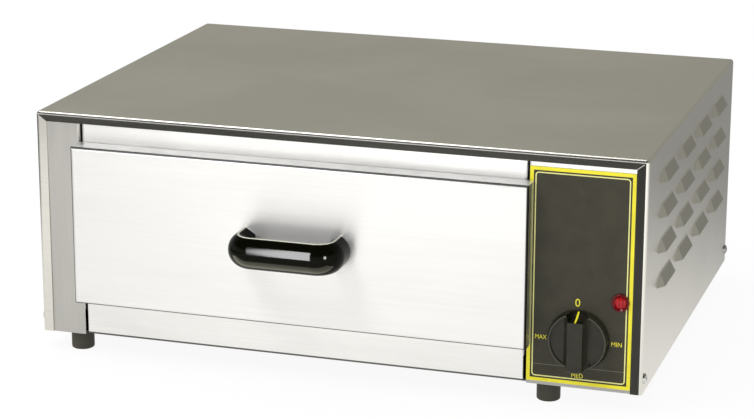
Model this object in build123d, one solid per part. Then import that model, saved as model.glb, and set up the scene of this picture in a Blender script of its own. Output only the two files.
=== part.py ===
from build123d import *
import math
import os

# Bun warming cabinet: a folded steel casing on four feet, with one drawer that slides out of a heated chamber
# and a control compartment on the right. Lengths are in millimetres.
# The model is laid out in cabinet coordinates: x from the casing's left side, y back from its front flange and
# z up from its bottom edge. save() moves each piece to the part's frame, whose origin is on the counter under
# the middle of the whole cabinet, handle and gland included.

# Casing
casing_width = 545.0
casing_depth = 405.0
casing_height = 202.0
sheet = 1.0
bend = 3.0
fit = 0.2
side_flange = 10.0
top_flange = 8.4
rear_flange = 14.0
mitre_gap = 0.5

# Louvres in the right side
louvre_columns = 4
louvre_rows = 4
louvre_pitch_y = 80.0
louvre_pitch_z = 30.7
louvre_top_drop = 20.5
louvre_height = 11.4
louvre_depth = 5.4
louvre_top_length = 41.0
louvre_lip_length = 46.0
louvre_foot_length = 63.0
louvre_wall = 0.8

# Front faces, from the left: stile, frame, control panel
left_seam = 41.9
right_seam_margin = 101.0
seam_gap = 1.6
return_depth = 10.0
face_bend = 2.4
frame_lift = 1.5

# Drawer opening in the front frame, with a collar that the liner slips over
opening_margin_left = 15.3
opening_margin_right = 11.2
opening_bottom = 44.0
opening_top_margin = 34.0
opening_corner = 2.0
collar_depth = 9.0

# Base tray
tray_wall = 22.0
vent_count = 6
vent_length = 44.0
vent_width = 4.0
vent_pitch = 11.0
vent_space = 45.0
vent_from_right = 45.0
seam_notch = 4.4

# Chamber liner, its supports and the partition beside it
liner_rear_space = 24.0
support_inset_front = 60.0
support_inset_rear = 60.0
support_foot = 14.0
support_top = 26.0
partition_gap = 2.2
partition_rear_space = 12.0
partition_flange = 8.0
partition_top_gap = 4.0

# Drawer
front_projection = 20.0
front_overlap_side = 17.4
front_overlap_bottom = 8.4
front_overlap_top = 9.5
front_bend = 3.0
closing_gap = 0.4
box_side_gap = 16.0
box_bottom_gap = 22.0
box_top_gap = 10.0
box_depth = 350.0
box_rim = 5.0
slot_columns = 6
slot_rows = 4
slot_length = 38.0
slot_width = 8.0
slot_pitch_x = 54.0
slot_pitch_y = 76.0

# Runners in the chamber and the rails on the drawer that slide in them
runner_lift = 46.0
runner_height = 22.0
runner_depth = 11.0
runner_sheet = 1.2
runner_end_gap = 3.0
rail_gap = 0.5
rail_inset_front = 26.0
rail_inset_rear = 4.0

# Handle
handle_length = 103.0
handle_projection = 38.0
handle_height = 28.0
handle_thickness = 18.0
handle_shoulder = 8.0
handle_corner = 14.5
handle_crease = 0.8
handle_hole_depth = 15.0
handle_screw_length = 13.0

# Knob
knob_from_right = 54.8
knob_lift = 43.0
knob_radius = 27.0
knob_height = 15.5
knob_gap = 0.8
knob_rim = 1.6
knob_edge = 0.6
knob_pocket_depth = 7.5
grip_front_width = 15.0
grip_foot_width = 23.0
grip_hollow = 1.3
scoop_width = 24.5
scoop_skirt = 1.2
scoop_outer_radius = 25.6
scoop_inner_radius = 18.2
scoop_hollow = 0.8
knob_cavity_radius = 20.5
knob_cavity_depth = 5.4
hub_radius = 7.0
hub_setback = 3.4
knob_bore_depth = 12.0

# Thermostat
shaft_radius = 3.0
shaft_flat = 1.2
shaft_gap = 0.08
shaft_inner_length = 12.0
bushing_radius = 5.0
bushing_length = 2.8
thermostat_width = 44.0
thermostat_depth = 30.0
thermostat_height = 34.0
thermostat_nut_width = 14.0
thermostat_nut_height = 2.0
blade_width = 6.3
blade_thickness = 0.8
blade_length = 8.0
blade_pitch = 14.0
capillary_radius = 1.0
capillary_bend = 8.0
bulb_radius = 3.2
bulb_length = 90.0
bulb_setback = 150.0
bulb_lift = 30.0
bulb_wall_gap = 6.0
bulb_clip_width = 6.0
bulb_clip_wall = 1.0

# Printed overlay on the control panel
overlay_thickness = 0.5
overlay_left = 1.7
overlay_bottom = 3.0
overlay_top = 12.3

# Pilot lamp
lamp_from_right = 20.3
lamp_lift = 79.0
lamp_flange_radius = 7.6
lamp_flange_height = 2.2
lamp_flange_round = 0.9
lamp_groove_height = 1.1
lamp_dome_radius = 5.3
lamp_dome_rise = 0.6
lamp_body_radius = 6.2
lamp_stem_length = 8.0
lamp_body_length = 20.0
lamp_clip_radius = 8.6
lamp_clip_thickness = 1.6
lamp_blade_pitch = 6.0

# Heating element under the drawer
element_radius = 4.1
element_lift = 11.5
element_setback = 110.0
element_pitch = 70.0
element_legs = 4
element_side_gap = 36.0
element_bend = 22.0
element_tail = 14.0
element_bead_radius = 3.4
element_bead_length = 3.0
element_pin_radius = 1.6
element_pin_length = 7.0
element_nut_width = 16.0
element_nut_height = 5.0
bracket_width = 4.0
bracket_inset = 60.0
bracket_end = 12.0

# Terminal block, earth stud and wiring
terminal_ways = 4
terminal_pitch = 11.0
terminal_depth = 22.0
terminal_height = 18.0
terminal_rear_space = 70.0
terminal_hole_radius = 2.0
terminal_screw_radius = 2.2
terminal_screw_length = 6.0
wire_radius = 1.3
wire_bend = 7.0
wire_entry = 5.0
earth_from_right = 24.0
earth_space = 61.0
earth_screw_length = 9.0

# Cable gland in the rear panel
gland_from_right = 52.0
gland_lift = 46.0
gland_bore_radius = 4.5
gland_thread_radius = 8.0
gland_hex_width = 21.0
gland_hex_height = 6.0
gland_dome_length = 15.0
gland_mouth_radius = 6.6
gland_inner_length = 13.0
gland_nut_width = 24.0
gland_nut_height = 5.0

# Feet
foot_height = 17.0
foot_radius = 10.2
foot_round = 1.6
foot_recess_radius = 5.2
foot_recess_depth = 8.0
foot_left = 31.5
foot_right_margin = 83.0
foot_setback = 15.5

# Screws as shank radius, head radius and head height, and their lengths and holes
casing_screw = (2.0, 4.4, 2.5)
panel_screw = (1.6, 3.2, 1.9)
foot_screw = (2.0, 4.0, 2.6)
handle_screw = (2.4, 4.7, 3.2)
casing_screw_length = 6.0
panel_screw_length = 5.0
foot_screw_length = 14.0
thread_gap = 0.06
hole_gap = 0.25
nut_width = 7.0
nut_height = 3.0
casing_screw_setback = 7.8
casing_screw_lift = 12.6
tray_screw_lift = 12.0
tray_screw_inset = 130.0

# Planes and edges that several pieces share
face_front = sheet + fit
face_back = face_front + sheet
face_top = casing_height - sheet - bend
overlay_front = face_front - overlay_thickness
corner_margin = sheet + bend
right_seam = casing_width - right_seam_margin
frame_x = (left_seam + seam_gap / 2, right_seam - seam_gap / 2)
opening_x = (frame_x[0] + opening_margin_left, frame_x[1] - opening_margin_right)
opening_z = (opening_bottom, casing_height - opening_top_margin)
collar_back = face_back + collar_depth
rear_plate_back = casing_depth - sheet
rear_plate_front = rear_plate_back - sheet
tray_x = (sheet + fit, casing_width - sheet - fit)
tray_y = (face_back + fit, rear_plate_front - fit)
liner_inner_x = (opening_x[0] - sheet - fit, opening_x[1] + sheet + fit)
liner_inner_z = (opening_z[0] - sheet - fit, opening_z[1] + sheet + fit)
liner_x = (liner_inner_x[0] - sheet, liner_inner_x[1] + sheet)
liner_z = (liner_inner_z[0] - sheet, liner_inner_z[1] + sheet)
liner_y = (face_back + collar_depth / 2, casing_depth - liner_rear_space)
chamber_middle = (opening_x[0] + opening_x[1]) / 2
partition_x = right_seam + seam_gap / 2 + sheet + partition_gap
drawer_face = -front_projection
drawer_back = overlay_front - closing_gap
drawer_x = (opening_x[0] - front_overlap_side, opening_x[1] + front_overlap_side)
drawer_z = (opening_z[0] - front_overlap_bottom, opening_z[1] + front_overlap_top)
box_x = (opening_x[0] + box_side_gap, opening_x[1] - box_side_gap)
box_y = (drawer_back, drawer_back + box_depth)
box_z = (opening_z[0] + box_bottom_gap, opening_z[1] - box_top_gap)
runner_z = (opening_z[0] + runner_lift, opening_z[0] + runner_lift + runner_height)
runner_y = (collar_back + runner_end_gap, liner_y[1] - sheet - runner_end_gap)
rail_x = (liner_inner_x[0] + runner_sheet + rail_gap, box_x[0])
rail_z = (runner_z[0] + runner_sheet + rail_gap, runner_z[1] - runner_sheet - rail_gap)
rail_y = (box_y[0] + rail_inset_front, box_y[1] - rail_inset_rear)
handle_x = (drawer_x[0] + drawer_x[1]) / 2
handle_z = (drawer_z[0] + drawer_z[1]) / 2
handle_half = (handle_length - handle_thickness) / 2
knob_x = casing_width - knob_from_right
knob_back = overlay_front - knob_gap
lamp_x = casing_width - lamp_from_right
thermostat_back = face_back + thermostat_depth
element_z = liner_inner_z[0] + element_lift
element_y = [element_setback + leg * element_pitch for leg in range(element_legs)]
element_x = (liner_inner_x[0] + element_side_gap, liner_inner_x[1] - element_side_gap)
element_end = partition_x + sheet + element_tail
element_tip = element_end + element_bead_length + element_pin_length
bulb_x = liner_inner_x[1] - bulb_wall_gap
bulb_z = opening_z[0] + bulb_lift
capillary_y = bulb_setback - 2.5 * capillary_bend
gland_x = casing_width - gland_from_right
gland_rear = rear_plate_back + gland_hex_height + gland_dome_length
terminal_width = terminal_ways * terminal_pitch
terminal_y = (rear_plate_front - terminal_rear_space - terminal_depth, rear_plate_front - terminal_rear_space)
terminal_z = sheet + terminal_height / 2
earth_x = casing_width - earth_from_right
earth_y = terminal_y[0] - earth_space
vent_y = earth_y - vent_space
foot_places = {
    "front_left": (foot_left, foot_setback),
    "front_right": (casing_width - foot_right_margin, foot_setback),
    "rear_left": (foot_left, casing_depth - foot_setback),
    "rear_right": (casing_width - foot_right_margin, casing_depth - foot_setback),
}

# The part's frame
front_reach = front_projection + handle_projection
front_y = front_reach - (front_reach + gland_rear) / 2
to_frame = Pos(-casing_width / 2, front_y, foot_height)


# A block between a low and a high value on each axis
def block(x, y, z):
    size = (x[1] - x[0], y[1] - y[0], z[1] - z[0])
    return Pos(x[0], y[0], z[0]) * Box(*size, align=(Align.MIN, Align.MIN, Align.MIN))


# A range moved outwards by the same amount at both ends
def grown(span, amount):
    return (span[0] - amount, span[1] + amount)


# A round bar between two points
def rod(start, end, radius):
    run = Vector(*end) - Vector(*start)
    plane = Plane(origin=start, z_dir=run)
    return plane * Cylinder(radius, run.length, align=(Align.CENTER, Align.CENTER, Align.MIN))


# A hexagonal nut between two points, with its bore
def hex_nut(start, end, width, bore_radius):
    run = Vector(*end) - Vector(*start)
    outline = RegularPolygon(width / math.sqrt(3), 6) - Circle(bore_radius)
    return extrude(Plane(origin=start, z_dir=run) * outline, run.length)


# A turned piece: its outline in radius and height, stood on a point with its axis along a direction
def turned(seat, direction, outline):
    solid = revolve(Plane.XZ * make_face(outline), Axis.Z)
    return Plane(origin=seat, z_dir=direction) * solid


# A box of folded sheet, open on the side that the direction names, with round or with sharp corners
def folded_pan(x, y, z, radius, open_side, sharp=False):
    side = Axis((0, 0, 0), open_side)
    solid = block(x, y, z)
    faces = solid.faces().sort_by(side)
    bends = faces[0].edges() if sharp else solid.edges() - faces[-1].edges()
    solid = fillet(bends, radius)
    return offset(solid, amount=-sheet, openings=solid.faces().sort_by(side)[-1])


# A strip of bent sheet: one face follows a polyline in the plane, and the strip is as long as the extrusion
def bent_strip(plane, points, length, side, thickness=sheet):
    line = FilletPolyline(*points, radius=face_bend)
    outline = make_face(offset(line, amount=thickness, side=side, closed=True))
    return extrude(plane * outline, length)


# Planes whose first coordinate runs along x or y, and whose strips are extruded up, forwards or to the right
def level_plane(y):
    return Plane(origin=(0, y, 0), x_dir=(1, 0, 0), z_dir=(0, 0, 1))


def cross_plane(y):
    return Plane(origin=(0, y, 0), x_dir=(1, 0, 0), z_dir=(0, -1, 0))


def side_plane(x):
    return Plane(origin=(x, 0, 0), x_dir=(0, 1, 0), z_dir=(1, 0, 0))


# A round tube or wire along straight runs joined by arcs
def bent_tube(points, radius, bend_radius):
    path = FilletPolyline(*points, radius=bend_radius)
    start = Plane(origin=path @ 0, z_dir=path % 0)
    return sweep(start * Circle(radius), path=path)


# The outline of a shallow dome, from its rim up to its top on the axis
def crown(rim_radius, low, high):
    rise = high - low
    ball = (rim_radius**2 + rise**2) / (2 * rise)
    return RadiusArc((rim_radius, low), (0, high), -ball)


# A pan-head screw that seats at a point, with its shank along the direction and a cross recess in its head
def pan_screw(seat, direction, screw, length):
    shank, head, height = screw
    rim = height * 0.4
    outline = [
        Polyline((0, height), (0, -length), (shank, -length), (shank, 0), (head, 0), (head, rim)),
        crown(head, rim, height),
    ]
    solid = revolve(Plane.XZ * make_face(outline), Axis.Z)
    arm = (-head / 2, head / 2)
    slot = (-head / 9, head / 9)
    depth = (height * 0.4, height + 1)
    solid -= block(arm, slot, depth)
    solid -= block(slot, arm, depth)
    return Plane(origin=seat, z_dir=-Vector(*direction)) * solid


# Several pieces of one kind, kept as separate solids
def group(pieces):
    return Compound([piece.solid() for piece in pieces])


def mirrored(piece):
    return mirror(piece, about=Plane.YZ.offset(chamber_middle))


def save(name, shape):
    export_step(to_frame * shape, f"parts/{name}.step")


# One pressed louvre, standing on the plane x = 0 with its mouth at the bottom
def louvre(top_length, lip_length, foot_length):
    top = [(0, end * top_length / 2, 0) for end in (-1, 1)]
    foot = [(0, end * foot_length / 2, -louvre_height) for end in (-1, 1)]
    lip = [(louvre_depth, end * lip_length / 2, -louvre_height) for end in (-1, 1)]
    outlines = [
        (top[0], top[1], lip[1], lip[0]),
        (top[0], lip[0], foot[0]),
        (top[1], foot[1], lip[1]),
        (foot[0], lip[0], lip[1], foot[1]),
        (top[0], foot[0], foot[1], top[1]),
    ]
    return Solid(Shell([Face(Wire.make_polygon(points, close=True)) for points in outlines]))


def louvre_places():
    first_y = (casing_depth - (louvre_columns - 1) * louvre_pitch_y) / 2
    first_z = casing_height - louvre_top_drop
    for column in range(louvre_columns):
        for row in range(louvre_rows):
            y = first_y + column * louvre_pitch_y
            yield Pos(casing_width, y, first_z - row * louvre_pitch_z)


# Seats and directions of the screws that hold the casing to the base tray
def casing_screw_seats():
    for y in (casing_screw_setback, casing_depth - casing_screw_setback):
        yield (0, y, casing_screw_lift), (1, 0, 0)
        yield (casing_width, y, casing_screw_lift), (-1, 0, 0)


# Seats of the screws through the casing's rear flanges, and of those through the rear panel's foot
def flange_screw_seats():
    side = (corner_margin + rear_flange) / 2
    upper = casing_height - side
    for x in (side, casing_width - side):
        yield (x, casing_depth, upper)
        yield (x, casing_depth, casing_height / 2)
    for x in (tray_screw_inset, casing_width - tray_screw_inset):
        yield (x, casing_depth, upper)


def tray_screw_seats():
    for x in (tray_screw_inset, casing_width - tray_screw_inset):
        yield (x, rear_plate_back, tray_screw_lift)


# A hole of one radius from a seat, some way along a direction
def hole(seat, direction, depth, radius):
    start = Vector(*seat) - Vector(*direction)
    end = Vector(*seat) + Vector(*direction) * depth
    return rod(tuple(start), tuple(end), radius)


def outer_casing():
    shell = folded_pan((0, casing_width), (0, casing_depth), (0, casing_height), bend, (0, 0, -1))
    window_top = casing_height - top_flange
    shell -= block((side_flange, casing_width - side_flange), (-1, bend), (-1, window_top))
    rear_x = (rear_flange, casing_width - rear_flange)
    shell -= block(rear_x, (casing_depth - bend, casing_depth + 1), (-1, casing_height - rear_flange))
    for corner_x, out in ((side_flange, -1), (casing_width - side_flange, 1)):
        run = Vector(out * (side_flange - bend), 0, top_flange - bend)
        mitre = Plane(origin=(corner_x, 0, window_top), x_dir=run, z_dir=(0, 1, 0))
        shell -= mitre * Box(2 * run.length, mitre_gap, 3 * sheet)
    wall = 2 * louvre_wall
    drop = louvre_wall * louvre_height / louvre_depth
    mouth = grown((-louvre_top_length / 2, louvre_top_length / 2), -louvre_wall)
    for place in louvre_places():
        shell += place * louvre(louvre_top_length, louvre_lip_length, louvre_foot_length)
        hollow = louvre(louvre_top_length - wall, louvre_lip_length - wall, louvre_foot_length - wall)
        shell -= place * Pos(-louvre_wall / 2, 0, -drop / 2) * hollow
        shell -= place * block((-2 * sheet, 0), mouth, (-louvre_height, -drop))
    for seat, inward in casing_screw_seats():
        shell -= hole(seat, inward, 2 * sheet, casing_screw[0] + hole_gap)
    for seat in flange_screw_seats():
        shell -= hole(seat, (0, -1, 0), sheet + fit, panel_screw[0] + hole_gap)
    return shell


def base_tray():
    tray = folded_pan(tray_x, tray_y, (0, tray_wall), bend, (0, 0, 1))
    up = (0, 0, 1)
    for foot_x, foot_y in foot_places.values():
        tray -= hole((foot_x, foot_y, 0), up, 2 * sheet, foot_screw[0] + hole_gap)
    for seam in (left_seam, right_seam):
        notch_x = grown((seam, seam), seam_notch / 2)
        tray -= block(notch_x, (0, tray_y[0] + bend), (bend, tray_wall + 1))
    tray -= hole((earth_x, earth_y, 0), up, 2 * sheet, casing_screw[0] + hole_gap)
    for seat, inward in casing_screw_seats():
        tray -= hole(seat, inward, 4 * sheet, casing_screw[0] + thread_gap)
    for seat in tray_screw_seats():
        tray -= hole(seat, (0, -1, 0), 4 * sheet, panel_screw[0] + thread_gap)
    vent = SlotOverall(vent_length, vent_width)
    for k in range(vent_count):
        y = vent_y + (k - (vent_count - 1) / 2) * vent_pitch
        tray -= extrude(Pos(casing_width - vent_from_right, y, -1) * vent, sheet + 2)
    return tray


def rear_panel():
    x = (corner_margin, casing_width - corner_margin)
    plate = block(x, (rear_plate_front, rear_plate_back), (fit, face_top))
    for seat in flange_screw_seats():
        plate -= hole(seat, (0, -1, 0), 3 * sheet, panel_screw[0] + thread_gap)
    for seat in tray_screw_seats():
        plate -= hole(seat, (0, -1, 0), sheet + fit / 2, panel_screw[0] + hole_gap)
    gland_seat = (gland_x, rear_plate_back, gland_lift)
    return plate - hole(gland_seat, (0, -1, 0), 2 * sheet, gland_thread_radius + hole_gap)


# Room behind a front face for the base tray's front wall
def tray_room(x):
    return block(x, (face_back, face_back + return_depth), (-1, tray_wall + fit))


def left_stile():
    x = (corner_margin, left_seam - seam_gap / 2)
    points = [(x[0], 0), (x[1], 0), (x[1], return_depth)]
    stile = bent_strip(level_plane(face_front), points, face_top, Side.LEFT)
    return stile - tray_room(grown(x, 1))


# The drawer opening as a solid, grown by a margin, with its round corners
def opening_block(margin, y):
    solid = block(grown(opening_x, margin), y, grown(opening_z, margin))
    return fillet(solid.edges().filter_by(Axis.Y), opening_corner + margin)


def front_frame():
    z = (frame_lift, face_top)
    points = [
        (frame_x[0], return_depth),
        (frame_x[0], 0),
        (frame_x[1], 0),
        (frame_x[1], return_depth),
    ]
    frame = bent_strip(level_plane(face_front), points, face_top, Side.LEFT)
    frame &= block(grown(frame_x, 1), (0, return_depth + 2 * face_front), z)
    frame -= tray_room(grown(frame_x, 1))
    frame += opening_block(sheet, (face_front, collar_back))
    return frame - opening_block(0, (face_front - 1, collar_back + 1))


# The holes for the thermostat's bushing and the pilot lamp, through the panel and its overlay
def control_holes():
    start = face_front - 2
    cut = rod((knob_x, start, knob_lift), (knob_x, face_back + 1, knob_lift), bushing_radius + hole_gap)
    return cut + rod((lamp_x, start, lamp_lift), (lamp_x, face_back + 1, lamp_lift), lamp_body_radius + hole_gap)


def control_panel():
    x = (right_seam + seam_gap / 2, casing_width - corner_margin)
    points = [(x[1], 0), (x[0], 0), (x[0], return_depth)]
    panel = bent_strip(level_plane(face_front), points, face_top, Side.RIGHT)
    panel -= tray_room(grown(x, 1))
    return panel - control_holes()


def control_overlay():
    x = (right_seam + overlay_left, casing_width - side_flange - fit)
    z = (overlay_bottom, casing_height - overlay_top)
    return block(x, (overlay_front, face_front), z) - control_holes()


def chamber_liner():
    liner = folded_pan(liner_x, liner_y, liner_z, bend, (0, -1, 0))
    for y in (element_y[0], element_y[-1]):
        liner -= hole((liner_x[1], y, element_z), (-1, 0, 0), 2 * sheet, element_radius + hole_gap)
    place = (liner_x[1], capillary_y, bulb_z)
    return liner - hole(place, (-1, 0, 0), 2 * sheet, capillary_radius + hole_gap)


# Hat-shaped supports that carry the liner on the base tray
def chamber_supports():
    foot_z = 2 * sheet
    top = liner_z[0]
    x = grown(liner_x, -bend)
    strips = []
    for y in (liner_y[0] + support_inset_front, liner_y[1] - support_inset_rear):
        half = support_top / 2
        points = [
            (y - half - support_foot, foot_z),
            (y - half, foot_z),
            (y - half, top),
            (y + half, top),
            (y + half, foot_z),
            (y + half + support_foot, foot_z),
        ]
        strips.append(bent_strip(side_plane(x[0]), points, x[1] - x[0], Side.RIGHT))
    return group(strips)


def partition():
    y = (face_front + return_depth + sheet, rear_plate_front - partition_rear_space)
    top = casing_height - sheet - partition_top_gap
    points = [(partition_x + partition_flange, sheet), (partition_x, sheet), (partition_x, top)]
    wall = bent_strip(cross_plane(y[1]), points, y[1] - y[0], Side.RIGHT)
    for leg in (element_y[0], element_y[-1]):
        wall -= hole((partition_x, leg, element_z), (1, 0, 0), 2 * sheet, element_radius + hole_gap)
    place = (partition_x, capillary_y, bulb_z)
    return wall - hole(place, (1, 0, 0), 2 * sheet, capillary_radius + hole_gap)


# A channel along y with its web at the first x and its mouth at the second
def channel(x, y, z):
    points = [(x[1], z[1]), (x[0], z[1]), (x[0], z[0]), (x[1], z[0])]
    return bent_strip(cross_plane(y[1]), points, y[1] - y[0], Side.LEFT, runner_sheet)


def left_runner():
    x = (liner_inner_x[0], liner_inner_x[0] + runner_depth)
    return channel(x, runner_y, runner_z)


def left_rail():
    return channel(rail_x, rail_y, rail_z)


# The tube's corners, from one end in the control compartment to the other
def element_points():
    points = [(element_end, element_y[0], element_z)]
    for leg in range(element_legs - 1):
        turn_x = element_x[leg % 2]
        points.append((turn_x, element_y[leg], element_z))
        points.append((turn_x, element_y[leg + 1], element_z))
    return points + [(element_end, element_y[-1], element_z)]


def heating_element():
    return bent_tube(element_points(), element_radius, element_bend)


def element_terminals():
    pin_top = element_bead_length + element_pin_length
    outline = Polyline(
        (0, 0),
        (element_bead_radius, 0),
        (element_bead_radius, element_bead_length),
        (element_pin_radius, element_bead_length),
        (element_pin_radius, pin_top),
        (0, pin_top),
        close=True,
    )
    ends = [(element_end, y, element_z) for y in (element_y[0], element_y[-1])]
    return group([turned(end, (1, 0, 0), [outline]) for end in ends])


def element_nuts():
    nuts = []
    seat_x = partition_x + sheet
    for y in (element_y[0], element_y[-1]):
        start = (seat_x, y, element_z)
        end = (seat_x + element_nut_height, y, element_z)
        nuts.append(hex_nut(start, end, element_nut_width, element_radius + thread_gap))
    return group(nuts)


# Strips on edge on the chamber's floor, with a round notch for each leg of the element
def element_brackets():
    y = grown((element_y[0], element_y[-1]), bracket_end)
    strips = []
    for x in (element_x[0] + bracket_inset, element_x[1] - bracket_inset):
        strip = block(grown((x, x), bracket_width / 2), y, (liner_inner_z[0], element_z))
        for leg in element_y:
            notch = element_radius + thread_gap
            strip -= rod((x - bracket_width, leg, element_z), (x + bracket_width, leg, element_z), notch)
        strips.append(strip)
    return group(strips)


# One flat terminal blade that stands back from a plane
def blade(x, y, z):
    return block(
        grown((x, x), blade_thickness / 2), (y, y + blade_length), grown((z, z), blade_width / 2)
    )


def thermostat_blade_x():
    return [knob_x + (k - 1) * blade_pitch for k in range(3)]


def thermostat_body():
    x = grown((knob_x, knob_x), thermostat_width / 2)
    z = grown((knob_lift, knob_lift), thermostat_height / 2)
    case = block(x, (face_back, thermostat_back), z)
    case = fillet(case.edges().filter_by(Axis.Y), bend)
    step = block(grown(x, -bend), (thermostat_back - bend, thermostat_back + 1), grown(z, -bend))
    rim = block(grown(x, 1), (thermostat_back - bend, thermostat_back + 1), grown(z, 1)) - step
    case -= rim
    for x_blade in thermostat_blade_x():
        case += blade(x_blade, thermostat_back, knob_lift)
    nose = overlay_front - bushing_length
    case += rod((knob_x, face_back, knob_lift), (knob_x, nose, knob_lift), bushing_radius)
    bore_end = face_back + shaft_inner_length + shaft_gap
    return case - rod((knob_x, nose - 1, knob_lift), (knob_x, bore_end, knob_lift), shaft_radius + shaft_gap)


def thermostat_nut():
    start = (knob_x, overlay_front - thermostat_nut_height, knob_lift)
    end = (knob_x, overlay_front, knob_lift)
    return hex_nut(start, end, thermostat_nut_width, bushing_radius + thread_gap)


# The capillary leaves the thermostat's back, crosses into the chamber and ends in the bulb
def thermostat_sensor():
    start_x = knob_x - blade_pitch / 2
    start_z = knob_lift + blade_width
    points = [
        (start_x, thermostat_back, start_z),
        (start_x, (thermostat_back + capillary_y) / 2, start_z),
        (start_x, capillary_y, bulb_z),
        (bulb_x, capillary_y, bulb_z),
        (bulb_x, bulb_setback, bulb_z),
    ]
    sensor = bent_tube(points, capillary_radius, capillary_bend)
    bulb_end = bulb_setback + bulb_length
    return sensor + rod((bulb_x, bulb_setback, bulb_z), (bulb_x, bulb_end, bulb_z), bulb_radius)


# Clips that hold the bulb off the chamber's wall
def bulb_clips():
    clips = []
    bore = bulb_radius + thread_gap
    for end in (0.2, 0.8):
        y = grown((bulb_setback + end * bulb_length,) * 2, bulb_clip_width / 2)
        ring = rod((bulb_x, y[0], bulb_z), (bulb_x, y[1], bulb_z), bore + bulb_clip_wall)
        stem_x = (bulb_x + bulb_radius / 2, liner_inner_x[1])
        ring += block(stem_x, y, grown((bulb_z, bulb_z), bulb_clip_wall))
        clips.append(ring - rod((bulb_x, y[0] - 1, bulb_z), (bulb_x, y[1] + 1, bulb_z), bore))
    return group(clips)


# A round bar with a flat on its upper side
def flatted(radius, length):
    keep = Pos(0, -shaft_flat) * Rectangle(2 * radius, 2 * radius)
    return extrude(Circle(radius) & keep, length)


# The knob's own plane: origin on its back, first coordinate to the right, second up, third forwards
def knob_plane():
    return Plane(origin=(knob_x, knob_back, knob_lift), x_dir=(1, 0, 0), z_dir=(0, -1, 0))


def thermostat_shaft():
    forward = knob_bore_depth - shaft_gap - 0.2
    shaft = Pos(0, 0, hub_setback) * flatted(shaft_radius, forward - hub_setback)
    inner_end = knob_back - (face_back + shaft_inner_length)
    stem = Pos(0, 0, inner_end) * extrude(Circle(shaft_radius), hub_setback - inner_end)
    return knob_plane() * (shaft + stem)


def control_knob():
    up = (Align.CENTER, Align.CENTER, Align.MIN)
    disc = Cylinder(knob_radius, knob_height, align=up)
    rim = disc.edges().filter_by(GeomType.CIRCLE).sort_by(Axis.Z)[-1]
    disc = fillet(rim, knob_edge)
    floor = knob_height - knob_pocket_depth
    pocket = Pos(0, 0, floor) * Cylinder(knob_radius - knob_rim, knob_pocket_depth + 1, align=up)
    foot = grip_foot_width / 2
    front = grip_front_width / 2
    flank = ((foot + front) / 2 - grip_hollow, (floor + knob_height) / 2)
    grip_side = [
        Line((-foot, floor), (foot, floor)),
        ThreePointArc((foot, floor), flank, (front, knob_height)),
        Polyline((front, knob_height), (front, knob_height + 2), (-front, knob_height + 2), (-front, knob_height)),
        ThreePointArc((-front, knob_height), (-flank[0], flank[1]), (-foot, floor)),
    ]
    grip = extrude(Plane.XZ * make_face(grip_side), knob_radius, both=True)
    disc -= pocket - grip
    middle = ((scoop_outer_radius + scoop_inner_radius) / 2 - scoop_hollow, (scoop_skirt + knob_height) / 2)
    scoop_side = [
        ThreePointArc((scoop_outer_radius, scoop_skirt), middle, (scoop_inner_radius, knob_height)),
        Polyline(
            (scoop_inner_radius, knob_height),
            (scoop_inner_radius, knob_height + 1),
            (knob_radius + 1, knob_height + 1),
            (knob_radius + 1, scoop_skirt),
            (scoop_outer_radius, scoop_skirt),
        ),
    ]
    disc -= extrude(Plane.YZ * make_face(scoop_side), scoop_width / 2, both=True)
    cavity = Cylinder(knob_cavity_radius, knob_cavity_depth, align=up)
    cavity -= Pos(0, 0, hub_setback) * Cylinder(hub_radius, knob_cavity_depth, align=up)
    disc -= cavity
    bore = flatted(shaft_radius + shaft_gap, knob_bore_depth)
    return knob_plane() * (disc - bore)


def pilot_lens():
    top = lamp_flange_height
    ridge = lamp_flange_radius - lamp_flange_round
    outline = [
        Polyline(
            (0, top + lamp_dome_rise),
            (0, -lamp_stem_length),
            (lamp_body_radius, -lamp_stem_length),
            (lamp_body_radius, 0),
            (lamp_flange_radius, 0),
            (lamp_flange_radius, top - lamp_flange_round),
        ),
        RadiusArc((lamp_flange_radius, top - lamp_flange_round), (ridge, top), -lamp_flange_round),
        Line((ridge, top), (lamp_dome_radius, lamp_groove_height)),
        crown(lamp_dome_radius, lamp_groove_height, top + lamp_dome_rise),
    ]
    return turned((lamp_x, overlay_front, lamp_lift), (0, -1, 0), outline)


def pilot_body():
    start = overlay_front + lamp_stem_length
    end = start + lamp_body_length
    body = rod((lamp_x, start, lamp_lift), (lamp_x, end, lamp_lift), lamp_body_radius)
    for side in (-0.5, 0.5):
        x = lamp_x + side * lamp_blade_pitch
        tab = (grown((x, x), blade_thickness / 2), (end, end + blade_length))
        body += block(*tab, grown((lamp_lift, lamp_lift), blade_width / 4))
    return body


def pilot_clip():
    ring = rod(
        (lamp_x, face_back, lamp_lift), (lamp_x, face_back + lamp_clip_thickness, lamp_lift), lamp_clip_radius
    )
    for angle in (0, 90, 180, 270):
        notch_x = lamp_x + lamp_clip_radius * math.cos(math.radians(angle))
        notch_z = lamp_lift + lamp_clip_radius * math.sin(math.radians(angle))
        ring -= rod((notch_x, face_back - 1, notch_z), (notch_x, face_back + bend, notch_z), 1)
    bore = lamp_body_radius + thread_gap
    return ring - rod((lamp_x, face_back - 1, lamp_lift), (lamp_x, face_back + bend, lamp_lift), bore)


def terminal_x(way):
    return gland_x + (way - (terminal_ways - 1) / 2) * terminal_pitch


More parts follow.
